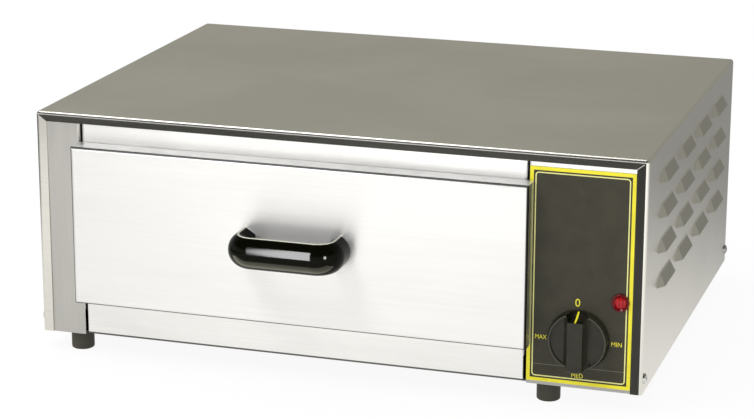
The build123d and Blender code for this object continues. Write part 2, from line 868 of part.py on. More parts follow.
def terminal_block():
    x = grown((gland_x, gland_x), terminal_width / 2)
    body = block(x, terminal_y, (sheet, sheet + terminal_height))
    body = fillet(body.edges().filter_by(Axis.Y).sort_by(Axis.Z)[-2:], 2)
    middle_y = (terminal_y[0] + terminal_y[1]) / 2
    for way in range(terminal_ways):
        wx = terminal_x(way)
        body -= rod((wx, terminal_y[0] - 1, terminal_z), (wx, terminal_y[1] + 1, terminal_z), terminal_hole_radius)
        well = sheet + terminal_height - terminal_screw_length
        body -= rod(
            (wx, middle_y, well), (wx, middle_y, sheet + terminal_height + 1), terminal_screw_radius + thread_gap
        )
    return body


def terminal_screws():
    middle_y = (terminal_y[0] + terminal_y[1]) / 2
    top = sheet + terminal_height - 1
    screws = []
    for way in range(terminal_ways):
        wx = terminal_x(way)
        screw = rod((wx, middle_y, top - terminal_screw_length + 1), (wx, middle_y, top), terminal_screw_radius)
        slot = (grown((wx, wx), terminal_screw_radius), grown((middle_y, middle_y), 0.4))
        screws.append(screw - block(*slot, (top - 1, top + 1)))
    return group(screws)


# A screw up through the base tray with a nut on top, where the earth wire ends
def earth_stud():
    screw = pan_screw((earth_x, earth_y, 0), (0, 0, 1), casing_screw, earth_screw_length)
    nut_start = (earth_x, earth_y, sheet)
    nut_end = (earth_x, earth_y, sheet + nut_height)
    return group([screw, hex_nut(nut_start, nut_end, nut_width, casing_screw[0] + thread_gap)])


# Wires from the terminal block to the thermostat, the element, the lamp and the earth stud
def internal_wiring():
    blades = thermostat_blade_x()
    blade_end = thermostat_back + blade_length
    lamp_end = overlay_front + lamp_stem_length + lamp_body_length + blade_length
    inside = terminal_y[0] + wire_entry
    turn_y = terminal_y[0] - 4 * wire_bend
    low = knob_lift - blade_width
    lead = 4 * wire_bend
    ways = [terminal_x(way) for way in range(terminal_ways)]
    lamp_pins = [lamp_x - lamp_blade_pitch / 2, lamp_x + lamp_blade_pitch / 2]
    routes = [
        [
            (ways[0], inside, terminal_z),
            (ways[0], turn_y, terminal_z),
            (blades[0], turn_y - lead, low),
            (blades[0], blade_end, low),
        ],
        [
            (blades[1], blade_end, low),
            (blades[1], element_y[0] - lead, low),
            (blades[1], element_y[0], element_z),
            (element_tip, element_y[0], element_z),
        ],
        [
            (element_tip, element_y[-1], element_z),
            (ways[1] + wire_bend, element_y[-1], element_z),
            (ways[1], turn_y, element_z),
            (ways[1], turn_y, terminal_z),
            (ways[1], inside, terminal_z),
        ],
        [
            (blades[2], blade_end, low),
            (blades[2], blade_end + lead, low),
            (lamp_pins[0], lamp_end + lead, lamp_lift),
            (lamp_pins[0], lamp_end, lamp_lift),
        ],
        [
            (lamp_pins[1], lamp_end, lamp_lift),
            (lamp_pins[1], lamp_end + 2 * lead, lamp_lift),
            (lamp_pins[1], lamp_end + 2 * lead, terminal_z),
            (ways[2], turn_y, terminal_z),
            (ways[2], inside, terminal_z),
        ],
        [
            (ways[3], inside, terminal_z),
            (ways[3], turn_y, terminal_z),
            (earth_x - nut_width, earth_y, sheet + earth_screw_length / 2),
        ],
    ]
    return group([bent_tube(points, wire_radius, wire_bend) for points in routes])


def cable_gland():
    seat = (gland_x, rear_plate_back, gland_lift)
    hex_end = (gland_x, rear_plate_back + gland_hex_height, gland_lift)
    body = hex_nut(seat, hex_end, gland_hex_width, gland_bore_radius)
    shoulder = gland_hex_width / 2 - 1
    dome = [
        Polyline((gland_bore_radius, gland_dome_length), (gland_bore_radius, 0), (shoulder, 0)),
        Line((shoulder, 0), (shoulder, gland_dome_length / 2)),
        ThreePointArc(
            (shoulder, gland_dome_length / 2),
            ((shoulder + gland_mouth_radius) / 2 + 1, gland_dome_length * 0.85),
            (gland_mouth_radius, gland_dome_length),
        ),
        Line((gland_mouth_radius, gland_dome_length), (gland_bore_radius, gland_dome_length)),
    ]
    body += turned(hex_end, (0, 1, 0), dome)
    inner_end = (gland_x, rear_plate_back - gland_inner_length, gland_lift)
    thread = rod(seat, inner_end, gland_thread_radius)
    bore = rod((gland_x, rear_plate_back + 1, gland_lift), (gland_x, inner_end[1] - 1, gland_lift), gland_bore_radius)
    return body + (thread - bore)


def gland_nut():
    start = (gland_x, rear_plate_front, gland_lift)
    end = (gland_x, rear_plate_front - gland_nut_height, gland_lift)
    return hex_nut(start, end, gland_nut_width, gland_thread_radius + thread_gap)


def rubber_foot(x, y):
    top = foot_height
    hole_radius = foot_screw[0] + hole_gap
    corner = foot_radius - foot_round
    outline = [
        Polyline(
            (corner, 0),
            (foot_recess_radius, 0),
            (foot_recess_radius, foot_recess_depth),
            (hole_radius, foot_recess_depth),
            (hole_radius, top),
            (foot_radius, top),
            (foot_radius, foot_round),
        ),
        RadiusArc((foot_radius, foot_round), (corner, 0), foot_round),
    ]
    return turned((x, y, -foot_height), (0, 0, 1), outline)


def foot_screws():
    z = foot_recess_depth - foot_height
    return group([pan_screw((x, y, z), (0, 0, 1), foot_screw, foot_screw_length) for x, y in foot_places.values()])


def foot_nuts():
    nuts = []
    for x, y in foot_places.values():
        nuts.append(hex_nut((x, y, sheet), (x, y, sheet + nut_height), nut_width, foot_screw[0] + thread_gap))
    return group(nuts)


def casing_screws():
    seats = casing_screw_seats()
    return group([pan_screw(seat, inward, casing_screw, casing_screw_length) for seat, inward in seats])


def rear_screws():
    seats = [*flange_screw_seats(), *tray_screw_seats()]
    return group([pan_screw(seat, (0, -1, 0), panel_screw, panel_screw_length) for seat in seats])


def drawer_front():
    pan = folded_pan(drawer_x, (drawer_face, drawer_back), drawer_z, front_bend, (0, 1, 0), sharp=True)
    for x in handle_leg_x():
        pan -= hole((x, drawer_face, handle_z), (0, 1, 0), 2 * sheet, handle_screw[0] + hole_gap)
    return pan


def drawer_inner_plate():
    inset = sheet + fit
    plate = block(grown(drawer_x, -inset), (drawer_back - sheet, drawer_back), grown(drawer_z, -inset))
    return fillet(plate.edges().filter_by(Axis.Y), sheet)


def drawer_box():
    box = folded_pan(box_x, box_y, box_z, bend, (0, 0, 1))
    rim = block(grown(box_x, box_rim), (box_y[0], box_y[1] + box_rim), (box_z[1] - sheet, box_z[1]))
    rim -= block(grown(box_x, -sheet), (box_y[0] - 1, box_y[1] - sheet), grown(box_z, 1))
    box += rim
    middle_y = (box_y[0] + box_y[1]) / 2
    slot = SlotOverall(slot_length, slot_width)
    for column in range(slot_columns):
        for row in range(slot_rows):
            x = chamber_middle + (column - (slot_columns - 1) / 2) * slot_pitch_x
            y = middle_y + (row - (slot_rows - 1) / 2) * slot_pitch_y
            box -= extrude(Pos(x, y, box_z[0] - 1) * slot, sheet + 2)
    return box


def handle_leg_x():
    return [handle_x - handle_half, handle_x + handle_half]


# A bow whose section is round on its outside and sloped on its inside, swept from one foot to the other
def drawer_handle():
    half = handle_thickness / 2
    ends = handle_leg_x()
    slopes = Polyline(
        (0, handle_height / 2),
        (half, handle_shoulder),
        (half, -handle_shoulder),
        (0, -handle_height / 2),
    )
    outside = ThreePointArc((0, -handle_height / 2), (-half, 0), (0, handle_height / 2))
    section = make_face([slopes, outside])
    section = fillet(section.vertices(), handle_crease)
    far = drawer_face - handle_projection + half
    path = FilletPolyline(
        (ends[0], drawer_face, handle_z),
        (ends[0], far, handle_z),
        (ends[1], far, handle_z),
        (ends[1], drawer_face, handle_z),
        radius=handle_corner,
    )
    start = Plane(origin=(ends[0], drawer_face, handle_z), x_dir=(1, 0, 0), z_dir=(0, -1, 0))
    handle = sweep(start * section, path=path)
    for x in ends:
        handle -= hole((x, drawer_face, handle_z), (0, -1, 0), handle_hole_depth, handle_screw[0] + thread_gap)
    return handle


def handle_screws():
    y = drawer_face + sheet
    return group([pan_screw((x, y, handle_z), (0, -1, 0), handle_screw, handle_screw_length) for x in handle_leg_x()])


os.makedirs("parts", exist_ok=True)
save("outer_casing", outer_casing())
save("base_tray", base_tray())
save("rear_panel", rear_panel())
save("left_stile", left_stile())
save("front_frame", front_frame())
save("control_panel", control_panel())
save("control_overlay", control_overlay())
save("chamber_liner", chamber_liner())
save("chamber_supports", chamber_supports())
save("partition", partition())
save("runner_left", left_runner())
save("runner_right", mirrored(left_runner()))
save("heating_element", heating_element())
save("element_terminals", element_terminals())
save("element_nuts", element_nuts())
save("element_brackets", element_brackets())
save("thermostat_body", thermostat_body())
save("thermostat_nut", thermostat_nut())
save("thermostat_sensor", thermostat_sensor())
save("bulb_clips", bulb_clips())
save("pilot_lens", pilot_lens())
save("pilot_body", pilot_body())
save("pilot_clip", pilot_clip())
save("terminal_block", terminal_block())
save("terminal_screws", terminal_screws())
save("earth_stud", earth_stud())
save("internal_wiring", internal_wiring())
save("cable_gland", cable_gland())
save("gland_nut", gland_nut())
for place, (foot_x, foot_y) in foot_places.items():
    save(f"foot_{place}", rubber_foot(foot_x, foot_y))
save("foot_screws", foot_screws())
save("foot_nuts", foot_nuts())
save("casing_screws", casing_screws())
save("rear_screws", rear_screws())
save("drawer_front", drawer_front())
save("drawer_inner_plate", drawer_inner_plate())
save("drawer_box", drawer_box())
save("rail_left", left_rail())
save("rail_right", mirrored(left_rail()))
save("drawer_handle", drawer_handle())
save("handle_screws", handle_screws())
save("control_knob", control_knob())
save("thermostat_shaft", thermostat_shaft())
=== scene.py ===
import math
import bmesh
import bpy
from mathutils import Matrix, Vector


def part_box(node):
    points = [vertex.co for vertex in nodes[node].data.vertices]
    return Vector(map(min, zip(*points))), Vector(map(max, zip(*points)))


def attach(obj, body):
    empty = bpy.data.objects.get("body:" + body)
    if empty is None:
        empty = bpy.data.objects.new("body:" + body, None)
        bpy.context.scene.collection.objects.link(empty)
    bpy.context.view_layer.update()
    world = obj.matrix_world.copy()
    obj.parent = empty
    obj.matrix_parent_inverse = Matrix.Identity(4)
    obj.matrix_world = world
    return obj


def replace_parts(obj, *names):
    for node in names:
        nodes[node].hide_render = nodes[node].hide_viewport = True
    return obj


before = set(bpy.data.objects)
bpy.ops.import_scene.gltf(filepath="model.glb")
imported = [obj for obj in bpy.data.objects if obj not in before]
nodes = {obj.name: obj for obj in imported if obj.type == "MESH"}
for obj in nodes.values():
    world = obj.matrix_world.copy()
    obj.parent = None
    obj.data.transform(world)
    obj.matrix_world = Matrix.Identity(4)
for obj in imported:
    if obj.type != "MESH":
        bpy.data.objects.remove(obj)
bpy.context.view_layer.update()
scene = bpy.context.scene
print("frame loaded:", len(nodes), "nodes")

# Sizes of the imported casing, in metres
casing = {
    "width": 0.545, "height": 0.202, "footHeight": 0.017, "frontY": -0.1835, "sideFlange": 0.010, "topFlange": 0.0084,
}


def place(x, y, z):  # from mm on the cabinet, counted from its left side, its front and its bottom edge, to the frame
    return Vector((x / 1000 - casing["width"] / 2, y / 1000 + casing["frontY"], z / 1000 + casing["footHeight"]))


# Camera: angles in degrees, lens and sensor in mm, place in metres

camera = {
    "azimuth": 17.65, "elevation": 15.97, "roll": 0.16, "lens": 114.92, "sensor": 36.0, "reach": 50.0,
    "at": (0.633, -2.0435, 0.716),
}


def makeCamera():
    data = bpy.data.cameras.new("camera")
    data.lens = camera["lens"]
    data.sensor_width = camera["sensor"]
    data.clip_end = camera["reach"]
    obj = bpy.data.objects.new("camera", data)
    scene.collection.objects.link(obj)
    turn = Matrix.Rotation(math.radians(camera["azimuth"]), 4, "Z")
    tilt = Matrix.Rotation(math.radians(90 - camera["elevation"]), 4, "X")
    roll = Matrix.Rotation(math.radians(camera["roll"]), 4, "Z")
    obj.matrix_world = Matrix.Translation(camera["at"]) @ turn @ tilt @ roll
    scene.camera = obj


makeCamera()
scene.view_settings.view_transform = "Standard"
print("camera set")


# Node helpers: inputs are given by name, as a value or as the socket that feeds them

def put(tree, kind, inputs=None, **settings):
    node = tree.nodes.new(kind if kind.startswith(("Geometry", "Function")) else "ShaderNode" + kind)
    for key, value in settings.items():
        setattr(node, key, value)
    for key, value in (inputs or {}).items():
        if isinstance(value, bpy.types.NodeSocket):
            tree.links.new(value, node.inputs[key])
        else:
            node.inputs[key].default_value = value
    return node


def calc(tree, operation, first, second=0.0, clamp=False):
    node = put(tree, "Math", {0: first, 1: second}, operation=operation, use_clamp=clamp)
    return node.outputs[0]


def blendColour(tree, factor, first, second, blend="MIX"):
    node = put(tree, "Mix", {0: factor, 6: first, 7: second}, data_type="RGBA", blend_type=blend)
    return node.outputs[2]


def ramp(tree, value, low, high, toLow=0.0, toHigh=1.0):  # a smooth step from one value to another
    node = put(
        tree, "MapRange",
        {"Value": value, "From Min": low, "From Max": high, "To Min": toLow, "To Max": toHigh},
        interpolation_type="SMOOTHSTEP",
    )
    return node.outputs["Result"]


def grey(value):
    return (value, value, value, 1)


def objectPlace(tree):  # the shaded point in the piece's own coordinates
    return put(tree, "TexCoord").outputs["Object"]


def split(tree, vector):
    return put(tree, "SeparateXYZ", {0: vector}).outputs


def vectorMath(tree, operation, first, second=None):
    inputs = {0: first} if second is None else {0: first, 1: second}
    return put(tree, "VectorMath", inputs, operation=operation).outputs


def aroundAxis(tree, middle):  # the point counted from a middle, and its distance from the line along Y through it
    where = vectorMath(tree, "SUBTRACT", objectPlace(tree), middle)[0]
    flat = vectorMath(tree, "MULTIPLY", where, (1, 0, 1))[0]
    return split(tree, where), vectorMath(tree, "LENGTH", flat)["Value"]


def aroundZero(tree, noise, amount):  # a noise's swing to both sides of nothing
    return calc(tree, "MULTIPLY", calc(tree, "SUBTRACT", noise, 0.5), amount)


def newGroup(name, inputs, outputs):
    tree = bpy.data.node_groups.new(name, "ShaderNodeTree")
    for label, kind, value in inputs:
        socket = tree.interface.new_socket(label, in_out="INPUT", socket_type="NodeSocket" + kind)
        socket.default_value = value
    for label, kind in outputs:
        tree.interface.new_socket(label, in_out="OUTPUT", socket_type="NodeSocket" + kind)
    return tree, tree.nodes.new("NodeGroupInput").outputs, tree.nodes.new("NodeGroupOutput").inputs


# Shared effects

grain = {"lineDetail": 3.0, "lineRoughness": 0.7, "wipeDetail": 4.0, "wipeDistortion": 0.4, "height": 0.0004}
skin = {"grainDetail": 2.0, "mottlesPerMetre": 60.0, "mottleDetail": 3.0, "height": 0.0002}
frontFacing = -0.99  # the Y of a normal under which a face belongs to the front


def makeBrushedGrain():  # fine lines left by the brushing, with broad wiped marks over them
    tree, given, result = newGroup(
        "brushedGrain",
        [("Lines per Metre", "Vector", (8, 8, 900)), ("Wipes per Metre", "Vector", (6, 16, 16)),
         ("Roughness", "Float", 0.3), ("Line Spread", "Float", 0.1), ("Wipe Spread", "Float", 0.06),
         ("Line Depth", "Float", 0.1)],
        [("Roughness", "Float"), ("Lines", "Float"), ("Wipes", "Float"), ("Normal", "Vector")],
    )
    where = objectPlace(tree)
    stretched = put(tree, "Mapping", {"Vector": where, "Scale": given["Lines per Metre"]}).outputs[0]
    lines = put(tree, "TexNoise", {
        "Vector": stretched, "Scale": 1.0, "Detail": grain["lineDetail"], "Roughness": grain["lineRoughness"],
    }).outputs["Fac"]
    broad = put(tree, "Mapping", {"Vector": where, "Scale": given["Wipes per Metre"]}).outputs[0]
    wipes = put(tree, "TexNoise", {
        "Vector": broad, "Scale": 1.0, "Detail": grain["wipeDetail"], "Distortion": grain["wipeDistortion"],
    }).outputs["Fac"]
    lineShare = aroundZero(tree, lines, given["Line Spread"])
    wipeShare = aroundZero(tree, wipes, given["Wipe Spread"])
    rough = calc(tree, "ADD", calc(tree, "ADD", given["Roughness"], lineShare), wipeShare, clamp=True)
    bump = put(tree, "Bump", {"Height": lines, "Strength": given["Line Depth"], "Distance": grain["height"]})
    tree.links.new(rough, result["Roughness"])
    tree.links.new(lines, result["Lines"])
    tree.links.new(wipes, result["Wipes"])
    tree.links.new(bump.outputs[0], result["Normal"])
    return tree


def makeMouldedSkin():  # the faint unevenness of a moulded or dipped surface
    tree, given, result = newGroup(
        "mouldedSkin",
        [("Grains per Metre", "Float", 900.0), ("Depth", "Float", 0.05), ("Roughness", "Float", 0.3),
         ("Spread", "Float", 0.08)],
        [("Roughness", "Float"), ("Mottle", "Float"), ("Normal", "Vector")],
    )
    where = objectPlace(tree)
    grains = put(tree, "TexNoise", {
        "Vector": where, "Scale": given["Grains per Metre"], "Detail": skin["grainDetail"],
    }).outputs["Fac"]
    mottle = put(tree, "TexNoise", {
        "Vector": where, "Scale": skin["mottlesPerMetre"], "Detail": skin["mottleDetail"],
    }).outputs["Fac"]
    rough = calc(tree, "ADD", given["Roughness"], aroundZero(tree, mottle, given["Spread"]), clamp=True)
    bump = put(tree, "Bump", {"Height": grains, "Strength": given["Depth"], "Distance": skin["height"]})
    tree.links.new(rough, result["Roughness"])
    tree.links.new(mottle, result["Mottle"])
    tree.links.new(bump.outputs[0], result["Normal"])
    return tree


def makeFlangeLean():  # the front flanges lean a little out of the plane of the front, as folded sheet does
    tree, given, result = newGroup(
        "flangeLean",
        [("Normal", "Vector", (0, 0, 0)), ("Top Lean", "Vector", (0, 0, 0.3)),
         ("Right Lean", "Vector", (0.3, 0, 0.3)), ("Left Lean", "Vector", (-0.1, 0, 0))],
        [("Normal", "Vector")],
    )
    where = split(tree, objectPlace(tree))
    facing = split(tree, put(tree, "NewGeometry").outputs["Normal"])
    fromSide = calc(tree, "SUBTRACT", casing["width"] / 2, calc(tree, "ABSOLUTE", where["X"]))
    fromTop = calc(tree, "SUBTRACT", casing["footHeight"] + casing["height"], where["Z"])
    sideShare = calc(tree, "DIVIDE", fromSide, casing["sideFlange"])
    topShare = calc(tree, "DIVIDE", fromTop, casing["topFlange"])
    isTop = calc(tree, "GREATER_THAN", sideShare, topShare)
    isRight = calc(tree, "GREATER_THAN", where["X"], 0.0)
    isFront = calc(tree, "LESS_THAN", facing["Y"], frontFacing)
    side = put(tree, "Mix", {0: isRight, 4: given["Left Lean"], 5: given["Right Lean"]}, data_type="VECTOR").outputs[1]
    lean = put(tree, "Mix", {0: isTop, 4: side, 5: given["Top Lean"]}, data_type="VECTOR").outputs[1]
    lean = put(tree, "VectorMath", {0: lean, 3: isFront}, operation="SCALE").outputs[0]
    added = vectorMath(tree, "ADD", given["Normal"], lean)[0]
    tree.links.new(vectorMath(tree, "NORMALIZE", added)[0], result["Normal"])
    return tree


brushedGrain = makeBrushedGrain()
mouldedSkin = makeMouldedSkin()
flangeLean = makeFlangeLean()


# Materials

def newMaterial(name):
    material = bpy.data.materials.new(name)
    material.use_nodes = True
    tree = material.node_tree
    shader = tree.nodes["Principled BSDF"]
    return material, tree, shader


def useGroup(tree, group, values):
    node = tree.nodes.new("ShaderNodeGroup")
    node.node_tree = group
    for key, value in values.items():
        node.inputs[key].default_value = value
    return node


# Masks for painted shade and painted highlights along a piece: lengths in metres, shades as colours or as shares of the
# tone

panRimPaintedShade = {"width": 0.0017, "soft": 0.0006, "depth": 0.0030, "shade": 0.05}
louvrePaintedShade = {"from": 0.0003, "to": 0.0012, "capFrom": 0.25, "capTo": 0.5, "shade": (0.66, 0.66, 0.63)}
crestPaintedHighlight = {"width": 0.0006, "soft": 0.0003, "shade": (0.24, 0.24, 0.20)}
knobAxis = {"x": 490.2, "z": 43.0}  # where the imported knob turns, in mm on the cabinet, as is its rim's front
knobRimPaintedHighlight = {"front": -6.6, "radius": 0.0242, "half": 0.0005, "shade": (0.07, 0.07, 0.055)}


def bendShadeMask(tree, node):  # painted shade: one along the outline of a folded pan's front, zero inside it and behind it
    low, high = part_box(node)
    where = split(tree, objectPlace(tree))
    pairs = []
    for side, k in (("X", 0), ("Z", 2)):
        fromLow = calc(tree, "SUBTRACT", where[side], low[k])
        fromHigh = calc(tree, "SUBTRACT", high[k], where[side])
        pairs.append(calc(tree, "MINIMUM", fromLow, fromHigh))
    shadeNear = ramp(tree, calc(tree, "MINIMUM", *pairs), panRimPaintedShade["width"] - panRimPaintedShade["soft"], panRimPaintedShade["width"], 1.0, 0.0)
    return calc(tree, "MULTIPLY", shadeNear, calc(tree, "LESS_THAN", where["Y"], low[1] + panRimPaintedShade["depth"]))


def louvreShadeMask(tree):  # painted shade: one on the sloping faces that stand out of the right side, zero on their end caps
    out = calc(tree, "SUBTRACT", split(tree, objectPlace(tree))["X"], casing["width"] / 2)
    facing = split(tree, put(tree, "TexCoord").outputs["Normal"])["Y"]
    cap = ramp(tree, calc(tree, "ABSOLUTE", facing), louvrePaintedShade["capFrom"], louvrePaintedShade["capTo"], 1.0, 0.0)
    return calc(tree, "MULTIPLY", cap, ramp(tree, out, louvrePaintedShade["from"], louvrePaintedShade["to"]))


def crestHighlightMask(tree):  # a painted highlight along the crease on top of the handle's bow
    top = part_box("drawer_handle")[1][2]
    edge = top - crestPaintedHighlight["width"]
    return ramp(tree, split(tree, objectPlace(tree))["Z"], edge, edge + crestPaintedHighlight["soft"])


def rimHighlightMask(tree):  # a painted highlight along the top of the knob's low rim
    where, away = aroundAxis(tree, place(knobAxis["x"], knobRimPaintedHighlight["front"], knobAxis["z"]))
    off = calc(tree, "ABSOLUTE", calc(tree, "SUBTRACT", away, knobRimPaintedHighlight["radius"]))
    ahead = calc(tree, "LESS_THAN", where["Y"], 0.0)
    return calc(tree, "MULTIPLY", ahead, ramp(tree, off, knobRimPaintedHighlight["half"] / 2, knobRimPaintedHighlight["half"], 1.0, 0.0))


# Steel: how far the noises count in its tone, and how softly the painted shade along its bottom edge begins
steel = {"wipes": (0.35, 0.65), "lines": (0.3, 0.7), "paintedShadeSoft": 0.0002}
mottles = (0.3, 0.7)  # the same for the noise in a moulded surface


# edge is a height in mm above the casing's bottom and the painted shade below it, rimOf names a folded pan whose
# bends get painted shade, raised is the painted shade on the louvres' sloping faces, and smear spreads reflections
# upward and downward
def brushedSteel(
    name, tone, rough, lines, wipes, lineSpread=0.10, wipeSpread=0.03, depth=0.06, stain=0.03,
    lean=None, smear=0.0, edge=None, rimOf=None, raised=None,
):
    material, tree, shader = newMaterial(name)
    brushed = useGroup(tree, brushedGrain, {
        "Lines per Metre": lines, "Wipes per Metre": wipes, "Roughness": rough, "Line Spread": lineSpread,
        "Wipe Spread": wipeSpread, "Line Depth": depth,
    })
    shader.inputs["Metallic"].default_value = 1.0
    darker = tuple(c * (1 - stain) for c in tone) + (1,)
    lighter = tuple(min(1.0, c * (1 + stain / 2)) for c in tone) + (1,)
    wiped = blendColour(tree, ramp(tree, brushed.outputs["Wipes"], *steel["wipes"]), darker, lighter)
    lined = ramp(tree, brushed.outputs["Lines"], *steel["lines"])
    colour = blendColour(tree, lined, wiped, grey(1 - stain), "MULTIPLY")
    # painted shade below the given height, along the bottom edge
    if edge:
        level = casing["footHeight"] + edge[0] / 1000
        height = split(tree, objectPlace(tree))["Z"]
        shadeNear = ramp(tree, height, level - steel["paintedShadeSoft"], level + steel["paintedShadeSoft"], 1.0, 0.0)
        colour = blendColour(tree, shadeNear, colour, grey(edge[1]), "MULTIPLY")
    # painted shade on the louvres' sloping faces
    if raised:
        colour = blendColour(tree, louvreShadeMask(tree), colour, (*raised, 1), "MULTIPLY")
    # painted shade along the bends of the named pan
    if rimOf:
        colour = blendColour(tree, bendShadeMask(tree, rimOf), colour, grey(panRimPaintedShade["shade"]), "MULTIPLY")
    if smear:
        shader.inputs["Anisotropic"].default_value = smear
        tree.links.new(put(tree, "CombineXYZ", {"Z": 1.0}).outputs[0], shader.inputs["Tangent"])
    tree.links.new(colour, shader.inputs["Base Color"])
    tree.links.new(brushed.outputs["Roughness"], shader.inputs["Roughness"])
    normal = brushed.outputs["Normal"]
    if lean:
        bent = useGroup(tree, flangeLean, lean)
        tree.links.new(normal, bent.inputs["Normal"])
        normal = bent.outputs["Normal"]
    tree.links.new(normal, shader.inputs["Normal"])
    return material


# line is a mask and the colour that it gives, for a painted highlight along an edge
def moulded(
    name, tone, rough, grains=900.0, depth=0.05, spread=0.08, vary=0.15, metallic=0.0, specular=0.5, line=None,
):
    material, tree, shader = newMaterial(name)
    surface = useGroup(tree, mouldedSkin, {
        "Grains per Metre": grains, "Depth": depth, "Roughness": rough, "Spread": spread,
    })
    shader.inputs["Metallic"].default_value = metallic
    shader.inputs["Specular IOR Level"].default_value = specular
    darker = tuple(c * (1 - vary) for c in tone) + (1,)
    lighter = tuple(min(1.0, c * (1 + vary)) for c in tone) + (1,)
    colour = blendColour(tree, ramp(tree, surface.outputs["Mottle"], *mottles), darker, lighter)
    # a painted highlight along an edge, where one is given
    if line:
        mask, shade = line
        colour = blendColour(tree, mask(tree), colour, (*shade, 1))
    tree.links.new(colour, shader.inputs["Base Color"])
    tree.links.new(surface.outputs["Roughness"], shader.inputs["Roughness"])
    tree.links.new(surface.outputs["Normal"], shader.inputs["Normal"])
    return material


lensPaintedLight = {  # x, z, dome and ring in mm on the cabinet, bright and dark as painted light and shade; ribs in radians per metre, with the reach and shades of their painted highlight stripes
    "x": 524.7, "z": 79.0, "dome": 4.6, "ring": 5.4, "bright": (0.44, 0.007, 0.008), "dark": (0.11, 0.002, 0.005),
    "ribs": 2100.0, "ribReach": (-0.6, 0.9), "ribShades": (0.45, 1.0), "rough": 0.14, "specular": 0.3,
}


def redLensPaintedLight(name):  # a dome painted brighter than its darker flange, as light through the lens, with the ribs moulded inside it painted as highlight stripes
    material, tree, shader = newMaterial(name)
    surface = useGroup(tree, mouldedSkin, {
        "Grains per Metre": 900.0, "Depth": 0.03, "Roughness": lensPaintedLight["rough"], "Spread": 0.06,
    })
    where, away = aroundAxis(tree, place(lensPaintedLight["x"], 0, lensPaintedLight["z"]))
    ring = ramp(tree, away, lensPaintedLight["dome"] / 1000, lensPaintedLight["ring"] / 1000)
    wave = calc(tree, "SINE", calc(tree, "MULTIPLY", where["X"], lensPaintedLight["ribs"]))
    lit = ramp(tree, wave, *lensPaintedLight["ribReach"], *lensPaintedLight["ribShades"])
    bright = blendColour(tree, lit, (*lensPaintedLight["dark"], 1), (*lensPaintedLight["bright"], 1))
    colour = blendColour(tree, ring, bright, (*lensPaintedLight["dark"], 1))
    tree.links.new(colour, shader.inputs["Base Color"])
    tree.links.new(surface.outputs["Roughness"], shader.inputs["Roughness"])
    tree.links.new(surface.outputs["Normal"], shader.inputs["Normal"])
    shader.inputs["Specular IOR Level"].default_value = lensPaintedLight["specular"]
    return material


# Each finish with its tone and roughness, and for steel its lines and wipes per metre along X, Y and Z
flanges = {"Top Lean": (0, 0, 0.66), "Right Lean": (0.30, 0, 0.66), "Left Lean": (-0.05, 0, 0)}
finishes = {
    # the casing's louvres get painted shade on their sloping faces
    "casing": brushedSteel(
        "steelCasing", (0.84, 0.825, 0.77), 0.30, (7, 700, 700), (5, 5, 5), stain=0.05, lean=flanges,
        raised=louvrePaintedShade["shade"],
    ),
    # the front's pan gets painted shade along its bends
    "front": brushedSteel(
        "steelFront", (0.96, 0.955, 0.942), 0.36, (6, 900, 900), (3, 18, 18), smear=0.85, rimOf="drawer_front",
    ),
    # the frame, the panel and the tray get painted shade along their bottom edges
    "frame": brushedSteel(
        "steelFrame", (0.96, 0.955, 0.942), 0.32, (6, 900, 900), (7, 22, 22), stain=0.05, smear=0.3, edge=(3.0, 0.14),
    ),
    "panel": brushedSteel("steelPanel", (0.88, 0.875, 0.86), 0.33, (6, 900, 900), (3, 18, 18), edge=(3.0, 0.5)),
    "tray": brushedSteel(
        "steelTray", (0.60, 0.60, 0.58), 0.42, (9, 500, 500), (9, 9, 9), stain=0.08, edge=(6.0, 0.10),
    ),
    # the stile's steel is a darker copy of the frame's steel: painted shade for the darker reflection it shows
    "stile": brushedSteel("steelStile", (0.54, 0.53, 0.505), 0.30, (900, 900, 6), (14, 14, 4), stain=0.06),
    "inner": brushedSteel(
        "steelInner", (0.60, 0.60, 0.58), 0.42, (9, 500, 500), (9, 9, 9), stain=0.08, wipeSpread=0.10,
    ),
    "zinc": moulded("zincPlating", (0.70, 0.71, 0.70), 0.32, metallic=1.0),
    "screw": moulded("screwSteel", (0.66, 0.66, 0.64), 0.26, metallic=1.0),
    "sheath": moulded("elementSheath", (0.24, 0.21, 0.18), 0.46, metallic=1.0, vary=0.35),
    "ceramic": moulded("ceramic", (0.78, 0.74, 0.66), 0.55),
    "copper": moulded("copperTube", (0.72, 0.40, 0.26), 0.30, metallic=1.0, vary=0.25),
    "brass": moulded("brassFitting", (0.76, 0.58, 0.28), 0.28, metallic=1.0),
    "film": moulded("overlayFilm", (0.036, 0.033, 0.019), 0.42, grains=2600.0, depth=0.04, specular=0.32),
    # the handle gets a painted highlight along its crease
    "gloss": moulded(
        "handleBlack", (0.0008, 0.0008, 0.0004), 0.09, depth=0.02, spread=0.03, specular=0.06,
        line=(crestHighlightMask, crestPaintedHighlight["shade"]),
    ),
    # the knob gets a painted highlight along its rim
    "knob": moulded(
        "knobBlack", (0.021, 0.020, 0.012), 0.32, grains=1800.0, depth=0.06, specular=0.35,
        line=(rimHighlightMask, knobRimPaintedHighlight["shade"]),
    ),
    "lens": redLensPaintedLight("lensRed"),
    "nylonLight": moulded("nylonWhite", (0.78, 0.76, 0.70), 0.45),
    "nylonDark": moulded("nylonBlack", (0.03, 0.03, 0.03), 0.40),
    "sleeve": moulded("wireSleeve", (0.74, 0.70, 0.62), 0.50),
    "rubber": moulded("footRubber", (0.048, 0.045, 0.030), 0.62, grains=1400.0, depth=0.12),
    "printYellow": moulded("printYellow", (0.80, 0.72, 0.02), 0.42, vary=0.06),
    "printPale": moulded("printPale", (0.76, 0.74, 0.28), 0.42, vary=0.06),
    "printGrey": moulded("printGrey", (0.12, 0.12, 0.09), 0.42, vary=0.06),
}
